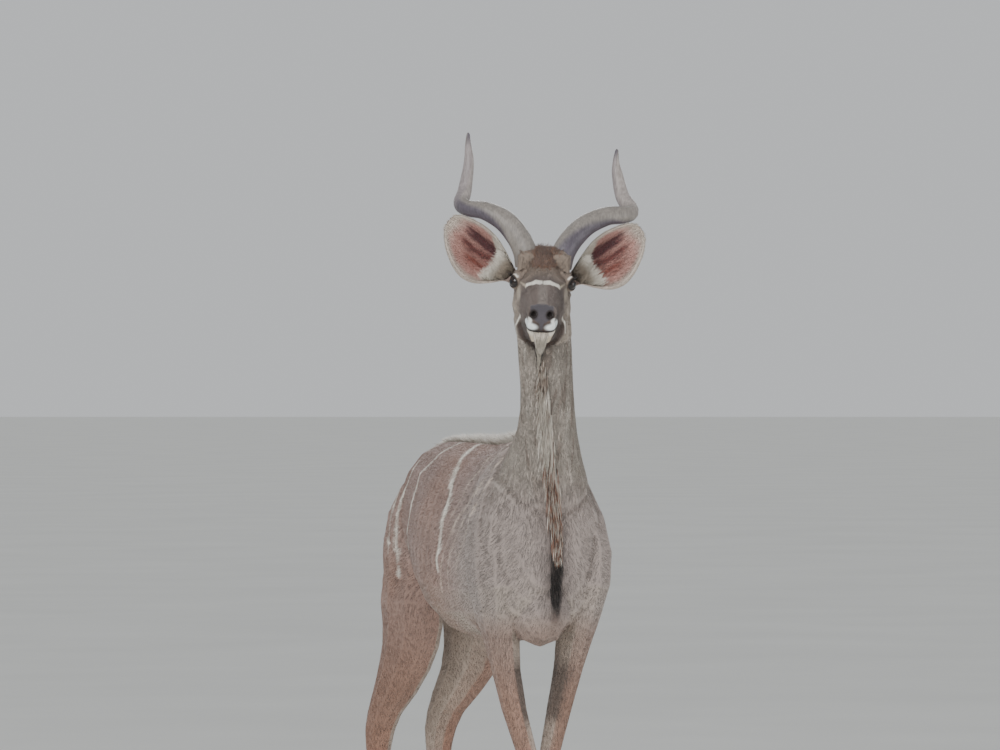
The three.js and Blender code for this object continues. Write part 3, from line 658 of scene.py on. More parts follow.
class Pelt:
    """The colours of a set of points, laid on one after another."""

    def __init__(self, points, normals):
        self.place = Regions(points)
        self.points, self.normals = points, normals
        self.colour = np.tile(FLANK, (len(points), 1))

    def lay(self, amount, shade):
        self.colour = blend(self.colour, np.asarray(shade), np.clip(amount, 0, 1)[:, None])

    def lay_over(self, part, *layers):
        """Layers laid over one part of the body, each an amount and a colour."""
        for amount, shade in layers:
            self.lay(part * amount, shade)

    def body(self):
        place = self.place
        x, y, z = place.x, place.y, place.z
        trunk = (1 - place.leg) * (1 - place.face) * (1 - place.ear)
        self.lay(smooth(260, 60, y), SHOULDER)
        self.lay(smooth(1180, 1240, z) * 0.35 * trunk * smooth(-20, 60, y), linear(118, 96, 84))
        self.lay(place.neck, NECK)
        streaks = mottle(np.stack([x / 9, y / 9, z / 110], axis=1), 1.0, 3)
        self.lay(place.neck * smooth(0.6, 0.85, streaks) * 0.45, linear(112, 92, 80))
        self.lay(place.neck * smooth(0.35, 0.1, streaks) * 0.5, linear(196, 188, 178))
        down = smooth(-0.2, -0.8, self.normals[:, 2])
        self.lay(down * trunk * smooth(1020, 940, z) * 0.7, BELLY)
        self.lay(smooth(980, 900, z) * trunk * smooth(180, 420, y) * 0.35, RUFOUS)
        # The dark line down the breast, in a softer shadow
        off_line, facing = np.abs(x - MIDLINE - 6 * np.sin(z / 60)), self.normals[:, 1]
        shadow = smooth(64, 14, off_line) * smooth(0.1, -0.5, facing)
        self.lay(shadow * trunk * smooth(1080, 980, z) * smooth(760, 800, z) * 0.5, linear(92, 82, 80))
        breast = smooth(16, 6, off_line) * smooth(-0.1, -0.5, facing) * smooth(1060, 1000, z)
        self.lay(breast * trunk * smooth(780, 830, z) * 0.85, BLACK_HAIR)
        # Wear of the coat over the ribs and haunch, warm behind the shoulder and on the thigh
        warm = mottle(self.points, 0.16, 5)
        self.lay(trunk * smooth(0.45, 0.8, warm) * 0.3 * smooth(60, 220, y), linear(146, 108, 88))

    def stripes(self):
        x, y, z = self.place.x, self.place.y, self.place.z
        out = np.where(x > MIDLINE, 2 * MIDLINE - x, x)
        mirrored = np.where(x > MIDLINE, -1, 1)[:, None]
        normals = self.normals * mirrored * [1, 0, 0] + self.normals * [0, 1, 1]
        # The left side's stripes run a little apart from the right side's
        shift = np.where(x > MIDLINE, 9 * np.sin(z / 70), 0)
        folded = np.stack([out, y + shift, z], axis=1)
        torn = mottle(self.points, 0.012, 8)
        broken = mottle(self.points, 0.06, 9)
        for half, path in BOLD_STRIPES:
            self.lay(stroke(folded, normals, path, half, 3.0) * (0.72 + 0.28 * torn), WHITE_HAIR)
        for half, path in FINE_STRIPES:
            self.lay(stroke(folded, normals, path, half, 2.2) * (0.3 + 0.5 * broken), linear(214, 196, 180))
        spine = smooth(15, 5, np.abs(x - MIDLINE)) * smooth(0.5, 0.8, self.normals[:, 2]) * smooth(30, 80, y)
        self.lay(spine * 0.75 * smooth(905, 880, y), WHITE_HAIR)

    def legs(self):
        place = self.place
        x, z = place.x, place.z
        inward = -self.normals[:, 0] * np.where(x > MIDLINE, 1, -1)
        inner = smooth(0.05, 0.75, inward)
        back, front = smooth(0.2, 0.8, self.normals[:, 1]), smooth(0.1, 0.7, -self.normals[:, 1])
        self.lay_over(place.leg, (0.45 + 0.4 * smooth(820, 600, z), RUFOUS),
                      (smooth(560, 300, z) * 0.4, linear(148, 100, 74)), (inner * 0.8, INNER_LEG))
        garter = place.fore * smooth(560, 600, z) * smooth(760, 690, z) * smooth(-0.1, 0.5, inward)
        self.lay(garter * 0.75, DARK_HAIR)
        shin = front * smooth(150, 230, z) * smooth(470, 400, z)
        self.lay_over(place.leg, (place.foot * back * 0.45, linear(150, 128, 108)),
                      (shin * 0.35, linear(120, 84, 66)))
        pastern = smooth(150, 128, z) * smooth(70, 84, z)
        self.lay(pastern * np.maximum(front, inner) * 0.75, WHITE_HAIR)
        self.lay(smooth(86, 66, z) * 0.85, DARK_HAIR)

    def tail(self):
        under = smooth(0.2, 0.7, self.normals[:, 1])
        self.lay_over(self.place.tail, ((1 - under) * 0.8, WHITE_HAIR), (under * 0.8, RUFOUS))
        x, y, z = self.place.x, self.place.y, self.place.z
        behind = smooth(850, 895, y) * smooth(60, 30, np.abs(x - MIDLINE))
        self.lay(behind * smooth(860, 940, z) * smooth(1110, 1020, z) * 0.7, WHITE_HAIR)

    def face(self):
        place = self.place
        side, along, up = place.side, place.along, place.up
        at = np.stack([side, along, up], axis=1)
        n = self.normals @ HEAD_AXES.T
        n[:, 0] *= place.s
        face = place.face
        bridge = smooth(15, 6, side) * smooth(92, 108, along) * smooth(0.2, 0.7, n[:, 2])
        dark = smooth(9, 15, side) * smooth(112, 96, along) * smooth(60, 84, along)
        self.lay_over(
            face, (1, FACE),
            # Forehead grey-brown, with the tuft's chestnut between the horns
            (smooth(84, 40, along) * smooth(0, 34, up) * 0.9, linear(126, 112, 100)),
            (lump(at - [0, -10, 64], (30, 56, 40)) * 0.9, CHESTNUT),
            (lump(at - [42, -26, 62], (24, 40, 34)) * 0.6, linear(128, 116, 105)),
            # Nose bridge greyer, dark bands down either side of it, cheeks paler behind and under the eye, with a
            # painted highlight on the cheek just under the eye
            (dark * 0.5, linear(74, 64, 60)), (bridge * 0.6, linear(136, 127, 120)),
            (smooth(20, 34, side) * smooth(90, 130, along) * smooth(30, 0, up) * 0.5, linear(84, 72, 66)),
            (smooth(-10, -50, up) * smooth(110, 30, along) * 0.8, linear(172, 160, 146)),
            # Painted highlight on the cheek under the eye
            (lump(at - [52, 38, -10], (18, 36, 24)) * 1.7, linear(188, 176, 160)),
            (smooth(6, -12, up) * smooth(25, 34, side) * smooth(110, 150, along) * 0.85, linear(72, 60, 54)))
        # Dark jaw, partly dark hair and partly painted shadow under the jaw, with its white chin
        off = (self.points - BETWEEN_EYES) * 1000
        low, wide = off @ FACE_UP, np.abs(off @ FACE_LEFT)
        reach = np.interp(low, [-158, -152, -141, -121, -102, -92], [0, 20, 38, 52, 57, 60])
        forward = smooth(-0.35, 0.1, self.normals @ AHEAD) * smooth(60, 20, place.y)
        jaw_hair_and_shadow = forward * smooth(reach + 2, reach - 6, wide) * smooth(-84, -98, low) * (low > -156)
        self.lay(jaw_hair_and_shadow * 0.95, DARK_HAIR)
        chin = smooth(-20, -25, up) * smooth(36, 32, side + 0.45 * (-22 - up))
        taper = 27 - 0.2 * np.clip(24 - up, 0, 60) - 16.5 * smooth(12, -2, up)
        pad = smooth(taper + 2, taper - 2, side) * smooth(214, 221, along + 0.3 * up) * smooth(-20, -15, up)

        def line(path, half, soft):
            return stroke(at, n, path, half, soft)

        self.lay_over(
            face, (smooth(-15, -22, up) * smooth(42, 34, side) * smooth(120, 160, along) * 0.8, DARK_HAIR),
            (chin * smooth(140, 160, along), CREAM),
            (chin * smooth(-40, -28, up) * smooth(150, 175, along) * 0.7, WHITE_HAIR),
            # White crescent on the cheek's edge, the chevron under the eyes and its fine ends
            (line([(58, 84, -52), (57, 68, -80), (51, 54, -104), (44, 46, -124)], 4.4, 2.0), WHITE_HAIR),
            (line([(2, 103, 46), (9, 102, 46), (19, 96, 42)], 9.5, 1.8) * smooth(0.5, 2.4, side), WHITE_HAIR),
            (line([(19, 96, 42), (32, 87, 35), (43, 78, 26)], 6.2, 1.6), WHITE_HAIR),
            (line([(44, 80, 25), (50, 62, 22), (54, 36, 16), (55, 22, 12)], 2.2, 1.6) * 0.8, CREAM),
            # Lips, nose pad, nostrils and the line of the mouth
            (lump(at - [24, 221, -10], (27, 40, 13)) * 3.4, linear(226, 230, 230)),
            (lump(at - [27, 232, 3], (7, 22, 9)) * 2.6, linear(216, 216, 212)), (pad, NOSE),
            (lump(at - [19.5, 236, 18], (14, 21, 15)) * 2.6, BLACK_HAIR),
            (smooth(3.8, 2.0, np.abs(up + 21.5)) * smooth(160, 190, along) * smooth(42, 34, side), BLACK_HAIR))
        # Skin round the eyes
        for name, s in SIDES:
            far, beyond, around = about_eye(self.points, name, s)
            self.lay(face * smooth(32, 26, far) * smooth(0.2, 0.08, beyond), BLACK_HAIR)
            self.lay(face * smooth(40, 34, far) * brow_arc(beyond, around), WHITE_HAIR)
        # The dark notch under the ear's root
        self.lay(face * lump(at - [74, -44, 6], (26, 20, 16)) * 0.9, DARK_HAIR)

    def ears(self):
        place = self.place
        t, v = place.ear_t, place.ear_v
        axes = np.array([EAR_AXES[-1][1][2], EAR_AXES[1][1][2]])
        opening = np.where(place.head[:, 0] < 0, self.normals @ axes[0], self.normals @ axes[1])
        inside = smooth(-0.1, 0.2, opening) * place.ear
        self.lay(place.ear, linear(150, 138, 128))
        self.lay(place.ear * smooth(0.4, 0.8, mottle(self.points, 0.03, 14)) * 0.4, linear(116, 98, 84))
        upper, lower = (np.interp(t, EAR_LEAF[:, 0], EAR_LEAF[:, k]) for k in (1, 2))
        across = v / np.where(v > 0, upper, lower)
        fray = (mottle(np.stack([t * 3, across * 7, across * 0], axis=1), 1.0, 12) - 0.5) * 0.2
        blur = (mottle(np.stack([t * 9, across * 26, across * 0], axis=1), 1.0, 13) - 0.5) * 0.12
        self.lay(inside, linear(186, 158, 148))
        flush = smooth(0.16, 0.3, t + fray) * smooth(0.92, 0.74, t + fray) * smooth(1.0, 0.75, np.abs(across))
        self.lay(inside * flush * 0.8, linear(170, 124, 114))
        for middle, fall, half, last, shade in EAR_BANDS:
            band = smooth(half + 0.1, half - 0.1, np.abs(across - middle - fall * (t - 0.25) + fray * 0.5 + blur))
            run = smooth(0.18, 0.26, t) * smooth(last, last - 0.16, t + blur)
            self.lay(inside * band * run, shade)
        rim = smooth(0.8, 0.96, np.abs(across) + 0.1 * smooth(0.6, 1, t))
        edge = 0.26 + 0.2 * across
        patch = smooth(edge + 0.03, edge - 0.03, t + fray * 0.5) * smooth(-0.5, -0.36, across)
        self.lay_over(inside, (rim * 0.85, EAR_RIM), (smooth(0.84, 0.95, t) * 0.85, EAR_RIM),
                      (patch, linear(192, 185, 172)))
        notch = lump(np.stack([t - 0.1, (across + 0.4) / 4, t * 0], axis=1), (0.1, 0.09, 1))
        self.lay(place.ear * notch * 1.4, DARK_HAIR)

    def uneven(self):
        broad = mottle(self.points, 0.09, 1) * 0.16 + mottle(self.points, 0.022, 2) * 0.14
        self.colour *= (0.85 + broad)[:, None]
        return np.clip(self.colour, 0, 1)


def coat_colours(points, normals):
    pelt = Pelt(points, normals)
    for layers in (pelt.body, pelt.stripes, pelt.legs, pelt.tail, pelt.face, pelt.ears):
        layers()
    return pelt.uneven()


# Horns
HORN_TIPS = {"right": (190, 347), "left": (160, 325)}
KEEL_TURNS = 0.8


def horn_stations(tip_out, tip_up):
    return np.array([
        (38, -22, 40, 28, 30), (46, -20, 76, 27.5, 29.5), (69, -32, 113, 26, 27), (101, -46, 143, 23.5, 24),
        (144, -60, 163, 20.5, 21.5), (182, -78, 168, 18.5, 19), (199, -106, 180, 17.5, 17.5),
        ((tip_out + 194) / 2, -134, 214, 15.5, 15.5), ((3 * tip_out + 188) / 4 - 4, -146, (tip_up + 206) / 2, 12, 12),
        (tip_out - 1, -146, tip_up - 30, 7.5, 7.5), (tip_out, -142, tip_up - 5, 4, 4),
        (tip_out, -141, tip_up, 1.2, 1.2)], float)


def horn(name, s, material):
    rows = through(horn_stations(*HORN_TIPS[name]), 16)
    centres = np.array([from_face(s * r[0], r[1], r[2]) for r in rows])
    runs = np.gradient(centres, axis=0)
    runs /= np.linalg.norm(runs, axis=1)[:, None]
    across, around = FACE_LEFT * s, 64
    angle = np.arange(around) / around * 2 * math.pi
    rings, marks = [], []
    count = len(rows)
    length = np.concatenate([[0], np.cumsum(np.linalg.norm(np.diff(centres, axis=0), axis=1))]) * 1000
    for k in range(count):
        across = across - runs[k] * (across @ runs[k])
        across = across / np.linalg.norm(across)
        deep = np.cross(runs[k], across)
        share = k / (count - 1)
        turn = angle - (math.pi / 2 + 2 * math.pi * KEEL_TURNS * share)
        keel = 1 + 0.15 * np.maximum(0, np.cos(turn)) ** 4
        # Growth rings, deepest at the base and gone by the smooth tip, and long cracks between them
        rough = 1 - smooth(0.5, 0.8, share)
        phase = length[k] / 8.5 + 0.35 * np.cos(turn)
        growth = (np.abs(np.sin(phase * math.pi)) ** 0.6 - 0.6) * 0.4 * rough * (1 + 0.6 * math.sin(length[k] / 31))
        grain = np.stack([np.cos(turn) * 7, np.sin(turn) * 7, np.full(around, length[k] / 55)], 1)
        crack = (mottle(grain, 1.0, 4) - 0.5) * 1.1 * rough
        half, depth = rows[k, 3] + growth + crack, rows[k, 4] + growth + crack
        rings.append(centres[k] + (across * (np.cos(angle) * half * keel)[:, None]
                                   + deep * (np.sin(angle) * depth * keel)[:, None]) / 1000)
        under = np.clip(-np.cos(turn), 0, 1)
        base = blend(linear(124, 118, 112), linear(78, 72, 80), smooth(0.1, 0.75, under)[:, None])
        pale = smooth(0.45, 0.62, share) * smooth(0.92, 0.8, share) * 0.6
        tone = blend(base, linear(158, 149, 146), pale)
        tone = blend(tone, linear(84, 76, 74), smooth(0.93, 1.0, share) * 0.6 + smooth(0.1, 0.0, share) * 0.5)
        dirt = np.clip(0.6 - growth, 0, 1)[:, None] * 0.15 * rough
        marks.append(tone * (1 - dirt) * (0.86 + 0.28 * mottle(rings[-1], 0.011, 6))[:, None])
    piece = swept("horn_sheath_" + name, rings, material)
    colours = np.concatenate([np.concatenate(marks), [marks[0][0], marks[-1][0]]])
    paint(piece, np.clip(colours, 0, 1))
    return piece


# Points round the eye and round its lids, and the radius of the eye in millimetres
EYE_RING, LID_RING, EYE_RADIUS = 56, 96, 17.6


def eyeball(name, s, material):
    around = np.arange(EYE_RING) / EYE_RING * 2 * math.pi
    tilts = np.concatenate([np.linspace(0.02, 0.9, 30), np.linspace(0.96, 2.9, 18)])
    rings, marks = [], []
    for tilt in tilts:
        bulge = EYE_RADIUS + 1.0 * math.exp(-(tilt / 0.55) ** 4)
        rings.append(on_eye(name, s, np.full(EYE_RING, tilt), around, np.full(EYE_RING, bulge)))
        wide = math.sin(tilt) * EYE_RADIUS
        pupil = smooth(1.12, 0.92, np.hypot(wide * np.cos(around) / 7.6, wide * np.sin(around) / 4.4))[:, None]
        grain = np.stack([np.cos(around) * 6, np.sin(around) * 6, around * 0 + tilt], 1)
        rays = (0.75 + 0.5 * mottle(grain, 1.0, 7))[:, None]
        iris = linear(34, 21, 16) * rays
        white = smooth(0.72, 0.9, tilt)
        tone = iris * (1 - 0.6 * smooth(0.55, 0.72, tilt)) * (1 - white) + linear(24, 17, 16) * white
        marks.append(tone * (1 - pupil) + linear(8, 9, 14) * pupil)
    piece = swept("eyeball_" + name, rings, material)
    paint(piece, np.concatenate([np.concatenate(marks), [marks[0][0], marks[-1][0]]]))
    return piece


def lids(name, s, material):
    around = np.arange(LID_RING) / LID_RING * 2 * math.pi
    edge = lid_edge(around)
    upper = np.clip(np.sin(around), 0, 1)
    steps = [(-0.05, EYE_RADIUS), (-0.035, 18.2), (0.0, 18.9), (0.07, 19.3), (0.14, 19.4), (0.21, 19.2), (0.27, 19.4),
             (0.36, 19.3), (0.5, 18.8), (0.7, 17.4), (0.9, 15.0)]
    rings, marks = [], []
    for k, (further, radius) in enumerate(steps):
        fold = 0.7 * upper * (1 if k in (3, 4) else -0.4 if k == 5 else 0.5 if k > 5 else 0)
        rings.append(on_eye(name, s, edge + further, around, radius + fold))
        shade = np.interp(further, [-0.06, 0.0, 0.07, 0.14, 0.22], [0, 0, 0.25, 0.7, 1])
        tone = np.tile(blend(BLACK_HAIR, linear(126, 113, 102), shade), (LID_RING, 1))
        marks.append(blend(tone, WHITE_HAIR, brow_arc(further, around)[:, None]))
    piece = swept("eyelids_" + name, rings, material, closed_ends=False)
    apply(piece, "SUBSURF", levels=1, render_levels=1)
    colours = np.concatenate(marks)
    found = points_of(piece)
    nearest = [int(np.argmin(np.sum((np.concatenate(rings) - p) ** 2, axis=1))) for p in found]
    paint(piece, colours[nearest])
    return piece


# Hooves and dewclaws, rounded from their solids
def hoof_piece(node, material):
    piece = copied(node, node + "_horn")
    small = node.startswith("dewclaw")
    apply(piece, "REMESH", mode="VOXEL", voxel_size=0.0012 if small else 0.002, adaptivity=0.0)
    apply(piece, "DECIMATE", ratio=0.5, use_collapse_triangulate=True)
    points = points_of(piece)
    points = ease(points, neighbours(piece), np.ones(len(points)), 5)
    height = in_body(points)[:, 2]
    middle = points.mean(axis=0)
    outward = (points - middle) * [1, 1, 0]
    outward /= np.maximum(np.linalg.norm(outward, axis=1), 1e-6)[:, None]
    ridge = 0.35 * np.sin(height * 2 * math.pi / 6.5 + 0.8 * np.sin(points[:, 1] * 60))
    floor = smooth(1.0, 5.0, height)
    points = points + outward * (ridge * floor / 1000)[:, None]
    points[:, 2] = np.maximum(points[:, 2], 0.0)
    set_points(piece, points)
    tone = linear(58, 52, 50) * (0.75 + 0.5 * mottle(points * [1, 1, 4], 0.012, 5))[:, None]
    tone = blend(tone, linear(128, 116, 104), (smooth(14, 2, height) * 0.5)[:, None])
    paint(piece, np.clip(tone, 0, 1))
    piece.data.materials.append(material)
    piece.data.polygons.foreach_set("use_smooth", np.ones(len(piece.data.polygons), bool))
    return piece


def hard_finish(name, rough, striation, coat):
    finish = Finish(name)
    colour = finish.node("ShaderNodeVertexColor", {"layer_name": "Coat"})
    grain = finish.noise(260.0, 4.0, (1.0, 1.0, 0.22))
    tinted = finish.mix(0.35, colour, finish.ramp(grain, [(0.3, grey(0.25)), (0.7, grey(0.9))]), "OVERLAY")
    roughness = (grain * 0.3 + (rough - 0.15)).clamped(0.05, 1.0)
    return finish.set(Base_Color=tinted, Roughness=roughness, Coat_Weight=coat, Coat_Roughness=0.3,
                      Normal=finish.bump(grain, striation, 0.0015), Specular_IOR_Level=0.4)


def eye_finish():
    finish = Finish("eye_wet")
    colour = finish.node("ShaderNodeVertexColor", {"layer_name": "Coat"})
    veins = finish.noise(700.0, 3.0)
    tinted = finish.mix(0.2, colour, finish.ramp(veins, [(0.35, grey(0.2)), (0.7, grey(0.8))]), "OVERLAY")
    return finish.set(Base_Color=tinted, Roughness=0.12, Coat_Weight=0.35, Coat_Roughness=0.02,
                      Specular_IOR_Level=0.3, Normal=finish.bump(veins, 0.04, 0.0003))


# Floor, light and camera
FLOOR_RADIUS = 400
LIGHTS = (("key", (-3.2, -4.2, 3.6), 3.0, 260), ("fill", (3.8, -3.6, 1.4), 3.0, 90),
          ("back", (1.5, 4.0, 3.2), 2.5, 120))
CAMERA_PLACE, CAMERA_TURN, CAMERA_LENS = (-4.0855, -13.541, 1.405), -16.5, 214.56


def studio():
    bpy.ops.mesh.primitive_circle_add(vertices=128, radius=FLOOR_RADIUS, fill_type="NGON", location=(0, 0, 0))
    floor = bpy.context.object
    floor.name = floor.data.name = "floor"
    finish = Finish("floor_pale")
    cloud = finish.noise(0.8, 3.0)
    pale = finish.ramp(cloud, [(0.3, linear(228, 228, 224)), (0.7, linear(234, 234, 230))])
    finish.set(Base_Color=pale, Roughness=0.9)
    floor.data.materials.append(finish.material)
    world = bpy.data.worlds.new("studio")
    bpy.context.scene.world = world
    world.use_nodes = True
    world.node_tree.nodes["Background"].inputs["Color"].default_value = (0.80, 0.82, 0.84, 1)
    world.node_tree.nodes["Background"].inputs["Strength"].default_value = 0.75
    middle = STANCE + np.array([0.0, 0.2, 1.1])
    for name, place, size, power in LIGHTS:
        light = bpy.data.objects.new(name, bpy.data.lights.new(name, "AREA"))
        light.data.size, light.data.energy = size, power
        light.location = STANCE + np.array(place)
        light.rotation_euler = Vector(middle - np.array(light.location)).to_track_quat("-Z", "Y").to_euler()
        bpy.context.collection.objects.link(light)
    lens = bpy.data.objects.new("camera", bpy.data.cameras.new("camera"))
    lens.location = STANCE + np.array(CAMERA_PLACE)
    lens.rotation_euler = (math.pi / 2, 0, math.radians(CAMERA_TURN))
    lens.data.lens, lens.data.sensor_width = CAMERA_LENS, 36
    lens.data.clip_end = 200
    bpy.context.collection.objects.link(lens)
    bpy.context.scene.camera = lens


# Coat: joined tufts and locks of hair
def unit(vectors):
    return vectors / np.maximum(np.linalg.norm(vectors, axis=-1, keepdims=True), 1e-9)


class Hair:
    """Tufts and locks gathered for one joined mesh, each with its own patch of the map OFBake."""

    def __init__(self):
        self.points, self.faces, self.colours, self.maps, self.count = [], [], [], [], 0

    def add(self, points, faces, colours, patch, spots):
        """points: tufts by corners; faces: of one tuft; patch: its corners' places on the map round each spot."""
        tufts, corners = points.shape[:2]
        starts = self.count + np.arange(tufts) * corners
        self.points.append(points.reshape(-1, 3))
        self.faces.append((starts[:, None, None] + np.array(faces)[None]).reshape(-1, 3))
        self.colours.append(colours.reshape(-1, 3))
        self.maps.append((spots[:, None, :] + np.array(patch)[None]).reshape(-1, 2))
        self.count += tufts * corners

    def tufts(self, roots, normals, ways, tips, width, colours, spots):
        """Short flat tufts: a back, two flanks and a belly to each, drawn to one tip."""
        side = np.cross(ways, normals)
        width = width[:, None] / 1000
        base = roots - normals * 0.00015
        points = np.stack([base - side * width / 2, base + side * width / 2,
                           base - ways * width * 0.4 + normals * (0.0001 + width * 0.14), tips], axis=1)
        shades = colours[:, None] * np.array([0.95, 0.95, 0.99, 1.04])[None, :, None]
        faces = [(0, 2, 3), (2, 1, 3), (1, 0, 3), (0, 1, 2)]
        self.add(points, faces, shades, [(-.0015, -.0015), (.0015, -.0015), (0, -.0004), (0, .0015)], spots)

    def locks(self, roots, ways, sides, length, width, bend, base, tip, spots):
        """Long locks, three-sided, bent along their way and drawn to a tip."""
        ups = unit(np.cross(sides, ways))
        length, width = length[:, None] / 1000, width[:, None] / 1000
        points, shades, patch, faces = [], [], [], [(2, 1, 0)]
        for k, t in enumerate((0, 0.3, 0.62)):
            centre = roots + ways * length * t + bend * length * t * t
            for j, turn in enumerate((0.5, 2.6, 4.7)):
                reach = width * (0.5 - 0.28 * t)
                points.append(centre + sides * math.cos(turn) * reach + ups * math.sin(turn) * reach * 0.7)
                shades.append(base + (tip - base) * t)
                patch.append(((-.0015, 0, .0015)[j] * (1 - 0.4 * t), -.0015 + .0032 * t + (.0004 if j == 1 else 0)))
        points.append(roots + ways * length + bend * length)
        shades.append(tip)
        patch.append((0, .0017))
        for k in (0, 3):
            for j in range(3):
                a, b = k + j, k + (j + 1) % 3
                faces += [(a, b, b + 3), (a, b + 3, a + 3)]
        faces += [(6 + j, 6 + (j + 1) % 3, 9) for j in range(3)]
        self.add(np.stack(points, axis=1), faces, np.stack(shades, axis=1), patch, spots)

    def piece(self, name, material, slot, *replaced):
        obj = mesh_from(name, np.concatenate(self.points), np.concatenate(self.faces), material)
        paint(obj, np.clip(np.concatenate(self.colours), 0, 1))
        places = np.clip(np.concatenate(self.maps), 0.0003, 0.9997).astype(np.float32)
        layer = obj.data.uv_layers.new(name="OFBake")
        corners = np.concatenate(self.faces).ravel()
        layer.data.foreach_set("uv", places[corners].ravel())
        obj.data.polygons.foreach_set("use_smooth", np.ones(len(obj.data.polygons), bool))
        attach(obj, "root")
        if replaced:
            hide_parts(*replaced)
        return obj


def spread(*axes):
    """Places on the map from raw coordinates, filled out to its whole square."""
    made = []
    for axis in axes:
        low, high = axis.min(), axis.max()
        made.append(0.004 + 0.992 * (axis - low) / max(high - low, 1e-9))
    return np.stack(made, axis=1)


def lie_of(place, normals):
    """The way the hair lies: back and down the trunk, down the legs, up the face, out along the ears."""
    way = np.tile([0.0, 1.0, -0.45], (len(normals), 1))

    def lay(amount, towards):
        nonlocal way
        way = way + (np.asarray(towards) - way) * np.clip(amount, 0, 1)[:, None]

    lay(smooth(60, -60, place.y) * smooth(1000, 1100, place.z), [0.0, 0.35, -1.0])
    lay(place.neck, [0.05, 0.25, -1.0])
    lay(place.leg, [0.0, 0.12, -1.0])
    lay(place.tail, [0.0, 0.1, -1.0])
    lay(place.face, -NOSEWARD + CROWNWARD * 0.12)
    runs = np.where(place.head[:, :1] < 0, EAR_AXES[-1][1][0], EAR_AXES[1][1][0])
    upward = np.where(place.head[:, :1] < 0, EAR_AXES[-1][1][1], EAR_AXES[1][1][1])
    ear_way = runs + upward * (place.ear_v / 90)[:, None] * 0.5
    way = way + (ear_way - way) * place.ear[:, None]
    way = way - normals * np.sum(way * normals, axis=1)[:, None]
    return unit(way)


class Surface:
    """The skin's triangles, ready for roots to be scattered over them."""

    def __init__(self, skin):
        self.points, self.normals = points_of(skin), normals_of(skin)
        skin.data.calc_loop_triangles()
        corners = np.empty(len(skin.data.loop_triangles) * 3, np.int32)
        skin.data.loop_triangles.foreach_get("vertices", corners)
        self.corners = corners.reshape(-1, 3)
        a, b, c = (self.points[self.corners[:, k]] for k in range(3))
        self.area = np.linalg.norm(np.cross(b - a, c - a), axis=1) / 2
        self.middle = (a + b + c) / 3
        self.place = Regions(self.middle)
        self.tree = BVHTree.FromPolygons([Vector(p) for p in self.points], self.corners.tolist())

    def scattered(self, weight, count):
        chance = self.area * weight
        chosen = rng.choice(len(self.corners), size=count, p=chance / chance.sum())
        u, v = rng.random(count), rng.random(count)
        over = u + v > 1
        u[over], v[over] = 1 - u[over], 1 - v[over]
        shares = np.stack([1 - u - v, u, v], axis=1)[:, :, None]
        corners = self.corners[chosen]
        return (self.points[corners] * shares).sum(axis=1), unit((self.normals[corners] * shares).sum(axis=1))

    def above(self, points, normals, height):
        """Points brought to a height over the skin nearest to them, where that faces as the normals do."""
        laid = points + normals * height[:, None]
        for k, point in enumerate(points):
            near, normal, _, _ = self.tree.find_nearest(point)
            if near is not None and normal.dot(normals[k]) > 0.3:
                laid[k] = np.array(near) + np.array(normal) * height[k]
        return laid

    def met(self, start, way, reach=2.0):
        """The first point and normal of the skin from a start along a way."""
        hit, normal, _, _ = self.tree.ray_cast(Vector(start), Vector(unit(np.asarray(way, float))), reach)
        return (np.array(hit), np.array(normal)) if hit is not None else (None, None)


def bare(place):
    """Where no hair grows: nose pad, lips' edge, nostrils and the eyes' sockets."""
    side, along, up = place.side, place.along, place.up
    at = np.stack([side, along, up], axis=1)
    nose = smooth(30, 26, side) * smooth(212, 218, along + 0.3 * up) * smooth(-20, -14, up)
    socket = (np.linalg.norm(at - [59.5, 2, 2], axis=1) < 22.5).astype(float)
    mouth = smooth(4, 2, np.abs(up + 22)) * smooth(150, 170, along)
    return np.clip(nose + socket + mouth, 0, 1)


def leg_turn(place, axis_x, axis_y):
    """The angle round each leg's own middle line."""
    turn = np.zeros(len(axis_x))
    for s in (-1, 1):
        own = np.where(axis_x > MIDLINE, 1, -1) == s
        level = np.clip((place.z[own] / 1300 * 40).astype(int), 0, 40)
        number = np.maximum(np.bincount(level, minlength=41), 1)
        middle_x = (np.bincount(level, axis_x[own], 41) / number)[level]
        middle_y = (np.bincount(level, axis_y[own], 41) / number)[level]
        turn[own] = np.arctan2(axis_x[own] - middle_x, axis_y[own] - middle_y) + (s + 1) * 3.3
    return turn


